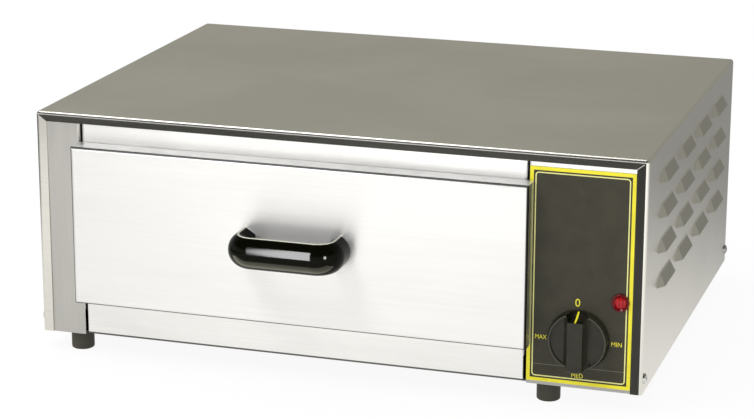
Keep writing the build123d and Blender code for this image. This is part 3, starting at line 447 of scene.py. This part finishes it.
finishOf = {
    "casing": ["outer_casing"],
    "front": ["drawer_front"],
    "frame": ["front_frame"],
    "panel": ["control_panel"],
    "tray": ["base_tray"],
    "stile": ["left_stile"],
    "inner": ["rear_panel", "chamber_liner", "chamber_supports", "partition", "element_brackets",
              "drawer_inner_plate", "drawer_box"],
    "zinc": ["runner_left", "runner_right", "rail_left", "rail_right", "thermostat_nut", "bulb_clips", "pilot_clip",
             "terminal_screws", "foot_screws", "foot_nuts", "handle_screws", "thermostat_shaft"],
    "screw": ["casing_screws", "rear_screws"],
    "sheath": ["heating_element"],
    "ceramic": ["element_terminals"],
    "copper": ["thermostat_sensor"],
    "brass": ["element_nuts", "earth_stud"],
    "film": ["control_overlay"],
    "gloss": ["drawer_handle"],
    "knob": ["control_knob"],
    "lens": ["pilot_lens"],
    "nylonLight": ["pilot_body", "terminal_block"],
    "nylonDark": ["thermostat_body", "cable_gland", "gland_nut"],
    "sleeve": ["internal_wiring"],
    "rubber": ["foot_front_left", "foot_front_right", "foot_rear_left", "foot_rear_right"],
}
for finish, names in finishOf.items():
    for name in names:
        nodes[name].data.materials.clear()
        nodes[name].data.materials.append(finishes[finish])
print("materials set:", len(finishes))


# Pieces added to the frame's nodes

def linked(name, data):
    obj = bpy.data.objects.new(name, data)
    scene.collection.objects.link(obj)
    return obj


def addPiece(name, mesh, body, material):
    obj = linked(name, mesh)
    mesh.materials.clear()
    mesh.materials.append(material)
    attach(obj, body)
    return obj


mergeReach = 1e-7  # points nearer than this, in metres, are one


def evenNormals(mesh):
    work = bmesh.new()
    work.from_mesh(mesh)
    bmesh.ops.remove_doubles(work, verts=work.verts, dist=mergeReach)
    bmesh.ops.recalc_face_normals(work, faces=work.faces)
    work.to_mesh(mesh)
    work.free()


def plainMesh(name, vertices, faces):
    mesh = bpy.data.meshes.new(name)
    mesh.from_pydata(vertices, [], faces)
    evenNormals(mesh)
    return mesh


def evaluated(obj):  # an object's result with its modifiers, as a plain mesh; the object goes
    bpy.context.view_layer.update()
    mesh = bpy.data.meshes.new_from_object(obj.evaluated_get(bpy.context.evaluated_depsgraph_get()))
    bpy.data.objects.remove(obj)
    return mesh


# Printed lines on the control panel, as closed bands of ink: mm on the cabinet

panelPrint = {
    "left": 445.7, "right": 534.8, "bottom": 3.0, "top": 189.7, "front": 0.7, "ink": 0.06,
    "bandWidth": 3.1, "lineInset": 4.5, "lineWidth": 1.0, "lineCorner": 3.0, "cornerSteps": 6,
    "ruleHeight": 18.4, "ruleWidth": 0.5,
}


def roundedLoop(left, right, bottom, top, corner=0.0):
    if not corner:
        return [(left, bottom), (right, bottom), (right, top), (left, top)]
    points = []
    steps = panelPrint["cornerSteps"]
    centres = [(right - corner, bottom + corner, -90), (right - corner, top - corner, 0),
               (left + corner, top - corner, 90), (left + corner, bottom + corner, 180)]
    for cx, cz, start in centres:
        for k in range(steps + 1):
            angle = math.radians(start + 90 * k / steps)
            points.append((cx + corner * math.cos(angle), cz + corner * math.sin(angle)))
    return points


def inkMesh(name, loops):  # ink on the panel: inside one loop, or between two with the same count of points
    front, ink = panelPrint["front"], panelPrint["ink"]
    count = len(loops[0])
    layer = count * len(loops)
    vertices = [place(x, y, z) for y in (front - ink, front) for loop in loops for x, z in loop]
    faces = []
    for k in range(count):
        n = (k + 1) % count
        faces.append((k, layer + k, layer + n, n))
        if len(loops) == 2:
            c, d = count + n, count + k
            faces += [(k, n, c, d), (layer + d, layer + c, layer + n, layer + k), (d, c, layer + c, layer + d)]
    if len(loops) == 1:
        faces += [tuple(range(count)), tuple(reversed(range(count, 2 * count)))]
    return plainMesh(name, vertices, faces)


def printPiece(name, mesh, finish):
    addPiece(name, mesh, "cabinet", finishes[finish])


def makePanelPrint():
    p = panelPrint
    side = p["lineInset"] + p["lineWidth"]

    def inset(amount, corner=0.0):
        return roundedLoop(
            p["left"] + amount, p["right"] - amount, p["bottom"] + amount, p["top"] - amount, corner,
        )

    printPiece("panelBand", inkMesh("panelBand", [inset(0.0), inset(p["bandWidth"])]), "printYellow")
    loops = [inset(p["lineInset"], p["lineCorner"]), inset(side, p["lineCorner"] - p["lineWidth"])]
    printPiece("panelLine", inkMesh("panelLine", loops), "printPale")
    low = p["ruleHeight"] - p["ruleWidth"] / 2
    loop = roundedLoop(p["left"] + side, p["right"] - side, low, low + p["ruleWidth"])
    printPiece("panelRule", inkMesh("panelRule", [loop]), "printGrey")


panelWords = {  # each word with the middle of its place, its width and its height in mm, and how its letters are cut
    "words": [("0", 488.6, 75.4, 4.2, 6.9), ("MAX", 457.8, 42.5, 9.9, 3.9), ("MIN", 522.4, 42.2, 8.9, 3.9),
              ("MED", 489.6, 11.2, 9.8, 3.9)],
    "extrude": 0.5, "curveSteps": 4, "mergeReach": 1e-6,
}


def wordMesh(text, x, z, width, height):
    curve = bpy.data.curves.new("word", "FONT")
    curve.body = text
    curve.extrude = panelWords["extrude"]
    curve.resolution_u = panelWords["curveSteps"]
    mesh = evaluated(linked("word", curve))
    low = [min(v.co[k] for v in mesh.vertices) for k in range(3)]
    high = [max(v.co[k] for v in mesh.vertices) for k in range(3)]
    size = (width, height, panelPrint["ink"])
    fit = [size[k] / 1000 / (high[k] - low[k]) for k in range(3)]
    centre = Vector([(low[k] + high[k]) / 2 for k in range(3)])
    turned = Matrix.Rotation(math.radians(90), 4, "X") @ Matrix.Diagonal((*fit, 1)) @ Matrix.Translation(-centre)
    mesh.transform(Matrix.Translation(place(x, panelPrint["front"] - panelPrint["ink"] / 2, z)) @ turned)
    return mesh


def makePanelWords():
    work = bmesh.new()
    for word in panelWords["words"]:
        work.from_mesh(wordMesh(*word))
    bmesh.ops.remove_doubles(work, verts=work.verts, dist=panelWords["mergeReach"])
    joined = bpy.data.meshes.new("panelWords")
    work.to_mesh(joined)
    work.free()
    printPiece("panelWords", joined, "printYellow")


makePanelPrint()
makePanelWords()
print("panel print made")


# The knob: a dished disc with a low rim, and a grip bar across it whose upper end is scooped out, with a painted
# pointer line down the scoop. Sizes in mm, pairs as radius and height, and spare is how far a cutter reaches past

knobForm = {
    "back": -0.1, "footRadius": 26.3, "rimRadius": 24.4, "rimHeight": 7.0, "rimWall": 1.4, "floor": 4.6, "height": 15.5,
    "gripFoot": 23.0, "gripFront": 13.0, "gripHollow": 1.3, "scoopWidth": 22.0, "cavity": (19.0, 3.0),
    "hub": (7.0, 2.0), "bore": (3.15, 12.2), "soft": 0.35, "steps": 96, "boreSteps": 32, "gripSteps": 10,
    "scoopSteps": 16, "spare": 1.0, "softSegments": 2, "softFrom": 32, "sharpFrom": 38,
}
pointer = {
    "outer": (25.6, 1.2), "inner": (19.6, 15.5), "hollow": 0.8, "width": 1.5, "paint": 0.10, "from": 0.03, "to": 0.97,
    "steps": 14,
}


def latheMesh(profile, steps):  # profile runs from the axis to the axis, as radius and height
    vertices = []
    for radius, height in profile:
        if radius == 0:
            vertices.append((0, 0, height))
        else:
            for k in range(steps):
                angle = 2 * math.pi * k / steps
                vertices.append((radius * math.cos(angle), radius * math.sin(angle), height))
    faces = []
    start = 1
    for row in range(1, len(profile) - 1):
        last = row == len(profile) - 2
        for k in range(steps):
            n = (k + 1) % steps
            if row == 1:
                faces.append((0, start + n, start + k))
            if last:
                faces.append((start + k, start + n, start + steps))
            else:
                faces.append((start + k, start + n, start + steps + n, start + steps + k))
        start += steps
    return plainMesh("lathe", vertices, faces)


def prismMesh(outline, reach):  # an outline of across and height, extruded both ways along the grip
    count = len(outline)
    vertices = [(x, y, z) for y in (-reach, reach) for x, z in outline]
    faces = [tuple(range(count)), tuple(reversed(range(count, 2 * count)))]
    faces += [(k, (k + 1) % count, count + (k + 1) % count, count + k) for k in range(count)]
    return plainMesh("prism", vertices, faces)


def carve(base, tool, operation):
    kept, cutter = linked("kept", base), linked("cutter", tool)
    cut = kept.modifiers.new("cut", "BOOLEAN")
    cut.operation = operation
    cut.solver = "EXACT"
    cut.object = cutter
    result = evaluated(kept)
    bpy.data.objects.remove(cutter)
    return result


def softened(mesh):  # small rounds along the edges, as a mould leaves them
    obj = linked("soft", mesh)
    bevel = obj.modifiers.new("soft", "BEVEL")
    bevel.width = knobForm["soft"] / 1000
    bevel.segments = knobForm["softSegments"]
    bevel.limit_method = "ANGLE"
    bevel.angle_limit = math.radians(knobForm["softFrom"])
    result = evaluated(obj)
    evenNormals(result)
    result.shade_smooth()
    result.set_sharp_from_angle(angle=math.radians(knobForm["sharpFrom"]))
    return result


def circleThrough(first, middle, last):  # the circle's middle and radius, and the angles of the arc from first to last
    (ax, ay), (mx, my), (bx, by) = first, middle, last
    d = 2 * (ax * (my - by) + mx * (by - ay) + bx * (ay - my))
    sa, sm, sb = ax * ax + ay * ay, mx * mx + my * my, bx * bx + by * by
    cx = (sa * (my - by) + sm * (by - ay) + sb * (ay - my)) / d
    cy = (sa * (bx - mx) + sm * (ax - bx) + sb * (mx - ax)) / d
    radius = math.hypot(ax - cx, ay - cy)
    start = math.atan2(ay - cy, ax - cx)
    turn = (math.atan2(by - cy, bx - cx) - start + math.pi) % (2 * math.pi) - math.pi
    return cx, cy, radius, start, turn


def arcPoints(first, middle, last, steps):
    cx, cy, radius, start, turn = circleThrough(first, middle, last)
    angles = [start + turn * k / steps for k in range(steps + 1)]
    return [(cx + radius * math.cos(angle), cy + radius * math.sin(angle)) for angle in angles]


def scoopCurve():  # the scoop's hollow flank, as three points of reach and height
    (outerReach, outerHeight), (innerReach, innerHeight) = pointer["outer"], pointer["inner"]
    middle = ((outerReach + innerReach) / 2 - pointer["hollow"], (outerHeight + innerHeight) / 2)
    return pointer["outer"], middle, pointer["inner"]


def makeKnob():
    f = knobForm
    inside = f["rimRadius"] - f["rimWall"]
    (cavityRadius, cavityDepth), (hubRadius, hubBack), (boreRadius, boreDepth) = f["cavity"], f["hub"], f["bore"]
    dish = [(0, hubBack), (hubRadius, hubBack), (hubRadius, cavityDepth), (cavityRadius, cavityDepth),
            (cavityRadius, 0), (f["footRadius"], 0), (f["rimRadius"], f["rimHeight"]), (inside, f["rimHeight"]),
            (inside, f["floor"]), (0, f["floor"])]
    foot, front, low = f["gripFoot"] / 2, f["gripFront"] / 2, f["floor"]
    flank = ((foot + front) / 2 - f["gripHollow"], (low + f["height"]) / 2)
    right = arcPoints((foot, low), flank, (front, f["height"]), f["gripSteps"])
    left = [(-x, z) for x, z in reversed(right)]
    spare = f["spare"]
    bar = prismMesh([(-foot, low - spare), (foot, low - spare)] + right + left, f["footRadius"])
    below, above = low - 2 * spare, f["height"] + spare
    ends = [(0, below), (f["rimRadius"], below), (f["rimRadius"], above), (0, above)]
    bar = carve(bar, latheMesh(ends, f["steps"]), "INTERSECT")
    knob = carve(latheMesh(dish, f["steps"]), bar, "UNION")
    (outerReach, outerHeight), (innerReach, innerHeight) = pointer["outer"], pointer["inner"]
    past, over = outerReach + 4 * spare, innerHeight + 2 * spare
    scoop = arcPoints(*scoopCurve(), f["scoopSteps"]) + [(innerReach, over), (past, over), (past, outerHeight)]
    tool = prismMesh(scoop, f["scoopWidth"] / 2)
    tool.transform(Matrix.Rotation(math.radians(90), 4, "Z"))
    knob = carve(knob, tool, "DIFFERENCE")
    bore = [(0, -spare), (boreRadius, -spare), (boreRadius, boreDepth), (0, boreDepth)]
    knob = carve(knob, latheMesh(bore, f["boreSteps"]), "DIFFERENCE")
    centre = place(knobAxis["x"], f["back"], knobAxis["z"])
    knob.transform(Matrix.Translation(centre) @ Matrix.Rotation(math.radians(90), 4, "X") @ Matrix.Scale(0.001, 4))
    piece = addPiece("knobMoulding", softened(knob), "knob", finishes["knob"])
    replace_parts(piece, "control_knob")


def makePointer():
    p = pointer
    cx, cy, radius, start, turn = circleThrough(*scoopCurve())
    half = p["width"] / 2
    vertices = []
    for k in range(p["steps"] + 1):
        angle = start + turn * (p["from"] + (p["to"] - p["from"]) * k / p["steps"])
        for lift in (-p["paint"], p["paint"]):  # half sunk in the moulding, half proud of it
            reach, height = cx + (radius - lift) * math.cos(angle), cy + (radius - lift) * math.sin(angle)
            for side in (-half, half):
                vertices.append(place(knobAxis["x"] + side, knobForm["back"] - height, knobAxis["z"] + reach))
    faces = [(0, 1, 3, 2)]
    for k in range(p["steps"]):
        a, b = 4 * k, 4 * k + 4
        for i, j in ((0, 1), (1, 3), (3, 2), (2, 0)):
            faces.append((a + i, b + i, b + j, a + j))
    last = 4 * p["steps"]
    faces.append((last + 2, last + 3, last + 1, last))
    mesh = plainMesh("knobPointer", vertices, faces)
    addPiece("knobPointer", mesh, "knob", finishes["printYellow"])


makeKnob()
makePointer()
print("knob and pointer made")


# Screws and the gland's ribs, from node trees with named inputs

screwForm = {  # counts, shares of the head, the recess and the shank, the pitch in mm and an angle in degrees
    "seed": 4, "threadPitch": 0.7, "headSides": 40, "headSteps": 2, "headRings": 5, "crown": 0.55, "crownPower": 3.0,
    "slotShare": 4.5, "slotHeight": 1.2, "slotLift": 1.05, "shankSides": 20, "shankSteps": 48, "threadDepth": 0.06,
    "shankSink": 0.49, "sharpFrom": 35,
}
screws = {  # sizes in mm, and each seat on the cabinet with the way its head faces
    "casingScrews": {
        "node": "casing_screws", "body": "cabinet", "slot": "screw_steel", "finish": "screw",
        "shank": 2.0, "head": 4.4, "rise": 2.46, "length": 6.0, "recess": 4.2,
        "seats": [((x, y, 12.6), (side, 0, 0)) for x, side in ((0, -1), (545, 1)) for y in (7.8, 397.2)],
    },
    "rearScrews": {
        "node": "rear_screws", "body": "cabinet", "slot": "screw_steel", "finish": "screw",
        "shank": 1.6, "head": 3.2, "rise": 1.86, "length": 5.0, "recess": 3.2,
        "seats": [((x, y, z), (0, 1, 0)) for x, y, z in (
            (9, 405, 193), (536, 405, 193), (9, 405, 101), (536, 405, 101), (130, 405, 193), (415, 405, 193),
            (130, 404, 12), (415, 404, 12),
        )],
    },
    "footScrews": {
        "node": "foot_screws", "body": "cabinet", "slot": "zinc_steel", "finish": "zinc",
        "shank": 2.0, "head": 4.0, "rise": 2.56, "length": 14.0, "recess": 4.0,
        "seats": [((x, y, -9), (0, 0, -1)) for x in (31.5, 462) for y in (15.5, 389.5)],
    },
    "handleScrews": {
        "node": "handle_screws", "body": "drawer", "slot": "zinc_steel", "finish": "zinc",
        "shank": 2.4, "head": 4.7, "rise": 3.15, "length": 13.0, "recess": 4.6,
        "seats": [((x, -19, 106.55), (0, 1, 0)) for x in (202.5, 287.5)],
    },
}


def newTree(name, inputs):
    tree = bpy.data.node_groups.new(name, "GeometryNodeTree")
    for label, kind in inputs:
        tree.interface.new_socket(label, in_out="INPUT", socket_type="NodeSocket" + kind)
    tree.interface.new_socket("Mesh", in_out="OUTPUT", socket_type="NodeSocketGeometry")
    return tree, tree.nodes.new("NodeGroupInput").outputs, tree.nodes.new("NodeGroupOutput").inputs


def shapeFrom(tree, base, values):  # the tree's result on a mesh of points, as a plain mesh
    obj = linked(tree.name, base)
    modifier = obj.modifiers.new(tree.name, "NODES")
    modifier.node_group = tree
    for item in tree.interface.items_tree:
        if item.in_out == "INPUT" and item.name in values:
            modifier[item.identifier] = values[item.name]
    mesh = evaluated(obj)
    mesh.shade_smooth()
    mesh.set_sharp_from_angle(angle=math.radians(screwForm["sharpFrom"]))
    return mesh


def realised(tree, instances, material):  # the tree's last steps
    real = put(tree, "GeometryNodeRealizeInstances", {"Geometry": instances}).outputs[0]
    return put(tree, "GeometryNodeSetMaterial", {"Geometry": real, "Material": material}).outputs[0]


def makeScrewTree():  # a pan head with a cross recess on a threaded shank, one at each seat
    tree, given, result = newTree("panHeadScrew", [
        ("Seats", "Geometry"), ("Shank Radius", "Float"), ("Head Radius", "Float"), ("Head Height", "Float"),
        ("Length", "Float"), ("Recess Width", "Float"), ("Thread Pitch", "Float"), ("Seed", "Int"),
        ("Material", "Material"),
    ])
    form = screwForm
    parts = split(tree, put(tree, "GeometryNodeInputPosition").outputs[0])
    squares = calc(tree, "ADD", calc(tree, "POWER", parts["X"], 2.0), calc(tree, "POWER", parts["Y"], 2.0))
    away = calc(tree, "SQRT", squares)
    blank = put(tree, "GeometryNodeMeshCylinder", {
        "Vertices": form["headSides"], "Side Segments": form["headSteps"], "Fill Segments": form["headRings"],
        "Radius": given["Head Radius"], "Depth": given["Head Height"],
    }).outputs["Mesh"]
    share = calc(tree, "ADD", calc(tree, "DIVIDE", parts["Z"], given["Head Height"]), 0.5)
    edge = calc(tree, "POWER", calc(tree, "DIVIDE", away, given["Head Radius"]), form["crownPower"])
    crown = calc(tree, "SUBTRACT", 1.0, calc(tree, "MULTIPLY", edge, form["crown"]))
    height = calc(tree, "MULTIPLY", calc(tree, "MULTIPLY", share, crown), given["Head Height"])
    domed = put(tree, "CombineXYZ", {"X": parts["X"], "Y": parts["Y"], "Z": height}).outputs[0]
    head = put(tree, "GeometryNodeSetPosition", {"Geometry": blank, "Position": domed}).outputs[0]
    thin = calc(tree, "DIVIDE", given["Recess Width"], form["slotShare"])
    tall = calc(tree, "MULTIPLY", given["Head Height"], form["slotHeight"])
    rise = calc(tree, "MULTIPLY", given["Head Height"], form["slotLift"])
    lift = put(tree, "CombineXYZ", {"Z": rise}).outputs[0]
    cut = put(tree, "GeometryNodeMeshBoolean", {"Mesh 1": head}, operation="DIFFERENCE")
    for across, along in ((given["Recess Width"], thin), (thin, given["Recess Width"])):
        size = put(tree, "CombineXYZ", {"X": across, "Y": along, "Z": tall}).outputs[0]
        bar = put(tree, "GeometryNodeMeshCube", {"Size": size}).outputs["Mesh"]
        raised = put(tree, "GeometryNodeTransform", {"Geometry": bar, "Translation": lift}).outputs[0]
        tree.links.new(raised, cut.inputs["Mesh 2"])
    rod = put(tree, "GeometryNodeMeshCylinder", {
        "Vertices": form["shankSides"], "Side Segments": form["shankSteps"],
        "Radius": given["Shank Radius"], "Depth": given["Length"],
    }).outputs["Mesh"]
    turn = calc(tree, "ARCTAN2", parts["Y"], parts["X"])
    climb = calc(tree, "MULTIPLY", calc(tree, "DIVIDE", parts["Z"], given["Thread Pitch"]), 2 * math.pi)
    ridge = calc(tree, "ADD", calc(tree, "SINE", calc(tree, "ADD", climb, turn)), 1.0)
    narrow = calc(tree, "SUBTRACT", 1.0, calc(tree, "MULTIPLY", ridge, form["threadDepth"]))
    sunk = calc(tree, "SUBTRACT", parts["Z"], calc(tree, "MULTIPLY", given["Length"], form["shankSink"]))
    wave = put(tree, "CombineXYZ", {
        "X": calc(tree, "MULTIPLY", parts["X"], narrow), "Y": calc(tree, "MULTIPLY", parts["Y"], narrow), "Z": sunk,
    }).outputs[0]
    shank = put(tree, "GeometryNodeSetPosition", {"Geometry": rod, "Position": wave}).outputs[0]
    whole = put(tree, "GeometryNodeJoinGeometry")
    tree.links.new(cut.outputs["Mesh"], whole.inputs[0])
    tree.links.new(shank, whole.inputs[0])
    aim = put(tree, "GeometryNodeInputNamedAttribute", {"Name": "aim"}, data_type="FLOAT_VECTOR").outputs[0]
    facing = put(tree, "FunctionNodeAlignRotationToVector", {"Vector": aim}, axis="Z").outputs[0]
    chance = put(tree, "FunctionNodeRandomValue", {2: 0.0, 3: math.pi, 8: given["Seed"]}, data_type="FLOAT").outputs[1]
    twist = put(tree, "FunctionNodeAxisAngleToRotation", {"Axis": (0, 0, 1), "Angle": chance}).outputs[0]
    turned = put(tree, "FunctionNodeRotateRotation", {0: facing, 1: twist}, rotation_space="LOCAL").outputs[0]
    spread = put(tree, "GeometryNodeInstanceOnPoints", {
        "Points": given["Seats"], "Instance": whole.outputs[0], "Rotation": turned,
    }).outputs[0]
    tree.links.new(realised(tree, spread, given["Material"]), result[0])
    return tree


def makeScrews():
    tree = makeScrewTree()
    for name, spec in screws.items():
        base = bpy.data.meshes.new("seats")
        base.from_pydata([place(*seat) for seat, aim in spec["seats"]], [], [])
        aims = base.attributes.new("aim", "FLOAT_VECTOR", "POINT")
        for k, (seat, aim) in enumerate(spec["seats"]):
            aims.data[k].vector = aim
        finish = finishes[spec["finish"]]
        mesh = shapeFrom(tree, base, {
            "Shank Radius": spec["shank"] / 1000, "Head Radius": spec["head"] / 1000,
            "Head Height": spec["rise"] / 1000, "Length": spec["length"] / 1000,
            "Recess Width": spec["recess"] / 1000, "Thread Pitch": screwForm["threadPitch"] / 1000,
            "Seed": screwForm["seed"], "Material": finish,
        })
        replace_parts(addPiece(name, mesh, spec["body"], finish), spec["node"])


ribs = {  # a ring of ribs round the gland, in mm on the cabinet, thinner towards their ends
    "x": 493.0, "z": 46.0, "from": 410.8, "count": 22, "ring": 9.35, "thick": 0.75, "length": 7.0,
    "sides": 12, "steps": 8, "taper": 0.6, "taperPower": 4.0,
}


def makeRibTree():
    tree, given, result = newTree("gripRibs", [
        ("Base", "Geometry"), ("Count", "Int"), ("Ring Radius", "Float"), ("Rib Radius", "Float"), ("Length", "Float"),
        ("Material", "Material"),
    ])
    parts = split(tree, put(tree, "GeometryNodeInputPosition").outputs[0])
    rod = put(tree, "GeometryNodeMeshCylinder", {
        "Vertices": ribs["sides"], "Side Segments": ribs["steps"], "Radius": given["Rib Radius"],
        "Depth": given["Length"],
    }).outputs["Mesh"]
    along = calc(tree, "MULTIPLY", calc(tree, "DIVIDE", parts["Z"], given["Length"]), 2.0)
    ends = calc(tree, "MULTIPLY", calc(tree, "POWER", along, ribs["taperPower"]), ribs["taper"])
    taper = calc(tree, "SUBTRACT", 1.0, ends)
    shaped = put(tree, "CombineXYZ", {
        "X": calc(tree, "MULTIPLY", parts["X"], taper), "Y": calc(tree, "MULTIPLY", parts["Y"], taper), "Z": parts["Z"],
    }).outputs[0]
    rib = put(tree, "GeometryNodeSetPosition", {"Geometry": rod, "Position": shaped}).outputs[0]
    ring = put(tree, "GeometryNodeMeshCircle", {"Vertices": given["Count"], "Radius": given["Ring Radius"]}).outputs[0]
    spread = put(tree, "GeometryNodeInstanceOnPoints", {"Points": ring, "Instance": rib}).outputs[0]
    tree.links.new(realised(tree, spread, given["Material"]), result[0])
    return tree


def makeGlandRibs():
    mesh = shapeFrom(makeRibTree(), bpy.data.meshes.new("ribs"), {
        "Count": ribs["count"], "Ring Radius": ribs["ring"] / 1000, "Rib Radius": ribs["thick"] / 1000,
        "Length": ribs["length"] / 1000, "Material": finishes["nylonDark"],
    })
    middle = place(ribs["x"], ribs["from"] + ribs["length"] / 2, ribs["z"])
    mesh.transform(Matrix.Translation(middle) @ Matrix.Rotation(math.radians(90), 4, "X"))
    addPiece("glandRibs", mesh, "cabinet", finishes["nylonDark"])


makeScrews()
makeGlandRibs()
print("screws and ribs made")


# Studio: pale floor, world and lamps

# The floor's glow changes along an axis, each time as axis, from, to, gain before and gain after, in metres
studio = {
    "floorSize": 12.0, "floorTone": (0.8, 0.8, 0.79), "glowTone": (1, 0.99, 0.96), "shadow": 0.07,
    "glow": [("Y", -0.25, 0.66, 1.08, 0.36), ("X", -0.80, -0.56, 0.12, 1.0), ("Y", -0.85, -0.55, 1.45, 1.0),
             ("Y", -0.42, -0.26, 1.0, 0.86)],
    "sweep": 1.08 * 0.97, "dark": (0.012, 0.012, 0.009), "room": (0.30, 0.294, 0.25), "fill": 1.0,
    "sky": (0.27, 0.40), "rear": (-0.15, 0.35),
}


def makeFloor():  # white to the camera; to polished metal a bright sweep in front, darker to the rear and the left
    half = studio["floorSize"] / 2
    mesh = bpy.data.meshes.new("floor")
    mesh.from_pydata([(-half, -half, 0), (half, -half, 0), (half, half, 0), (-half, half, 0)], [], [(0, 1, 2, 3)])
    obj = linked("floor", mesh)
    material, tree, shader = newMaterial("paleFloor")
    tree.nodes.remove(shader)
    path = put(tree, "LightPath").outputs
    where = split(tree, objectPlace(tree))
    glow = 1.0
    for axis, *span in studio["glow"]:
        glow = calc(tree, "MULTIPLY", glow, ramp(tree, where[axis], *span))
    lit = put(tree, "BsdfDiffuse", {"Color": (*studio["floorTone"], 1)}).outputs[0]
    white = put(tree, "Emission", {"Color": grey(1.0), "Strength": 1.0}).outputs[0]
    seen = put(tree, "Emission", {"Color": (*studio["glowTone"], 1), "Strength": glow}).outputs[0]
    shown = put(tree, "MixShader", {0: studio["shadow"], 1: white, 2: lit}).outputs[0]
    mirrored = put(tree, "MixShader", {0: path["Is Glossy Ray"], 1: lit, 2: seen}).outputs[0]
    surface = put(tree, "MixShader", {0: path["Is Camera Ray"], 1: mirrored, 2: shown}).outputs[0]
    tree.links.new(surface, tree.nodes["Material Output"].inputs["Surface"])
    mesh.materials.append(material)


def makeWorld():  # polished metal sees a dark room over the sweep in front, and a grey one behind
    world = bpy.data.worlds.new("studio")
    scene.world = world
    world.use_nodes = True
    tree = world.node_tree
    path = put(tree, "LightPath").outputs
    towards = split(tree, put(tree, "TexCoord").outputs["Generated"])
    front = blendColour(tree, ramp(tree, towards["Z"], *studio["sky"]), grey(studio["sweep"]), (*studio["dark"], 1))
    room = blendColour(tree, ramp(tree, towards["Y"], *studio["rear"]), front, (*studio["room"], 1))
    plain = blendColour(tree, path["Is Glossy Ray"], grey(studio["fill"]), room)
    colour = blendColour(tree, path["Is Camera Ray"], plain, grey(1.0))
    tree.links.new(colour, tree.nodes["Background"].inputs["Color"])


# Lamps: places and sizes in metres; only and without name the nodes that a lamp is kept to or kept off
lamps = {
    "softboxLeft": {"at": (-0.9, -1.2, 2.2), "to": (0, -0.1, 0.1), "size": (1.0, 0.8), "watts": 20,
                    "without": ["drawer_handle", "outer_casing"]},
    "softboxTop": {"at": (-0.6, 0.1, 1.9), "to": (0, -0.1, 0.1), "size": (1.4, 1.0), "watts": 14,
                   "without": ["drawer_handle"]},
    "stripLight": {"at": (-0.416, -1.35, 0.51), "to": (-0.067, -0.24, 0.51), "size": (0.115, 1.25), "watts": 48,
                   "roll": 5.6, "only": ["drawer_handle"]},
    "lowLight": {"at": (-0.10, -0.27, 0.004), "to": (-0.10, -0.27, 1.0), "size": (0.5, 0.12), "watts": 1.5,
                 "colour": (1.0, 1.0, 0.8), "only": ["drawer_handle"]},
    "spotLight": {"at": (0.867, -1.037, 0.393), "to": (0.0131, -0.2372, 0.1276), "size": (0.24, 0.38), "watts": 26,
                  "shape": "ELLIPSE", "only": ["drawer_handle"]},
}


def makeLamp(name, spec):
    data = bpy.data.lights.new(name, "AREA")
    data.shape = spec.get("shape", "RECTANGLE")
    data.size, data.size_y = spec["size"]
    data.energy = spec["watts"]
    data.color = spec.get("colour", (1.0, 1.0, 1.0))
    lamp = linked(name, data)
    lamp.location = spec["at"]
    aim = (Vector(spec["to"]) - Vector(spec["at"])).to_track_quat("-Z", "Y")
    roll = Matrix.Rotation(math.radians(spec.get("roll", 0)), 3, "Z")
    lamp.rotation_euler = (aim.to_matrix() @ roll).to_euler()
    lamp.visible_camera = False
    kept = [nodes[node] for node in spec.get("only", [])]
    if "without" in spec:
        hidden = [nodes[node] for node in spec["without"]]
        kept = [obj for obj in scene.objects if obj.type == "MESH" and obj not in hidden]
    lit = bpy.data.collections.new(name + "Lit")
    for obj in kept:
        lit.objects.link(obj)
    lamp.light_linking.receiver_collection = lit


makeFloor()
makeWorld()
for name, spec in lamps.items():
    makeLamp(name, spec)
print("studio made:", len(lamps), "lamps")
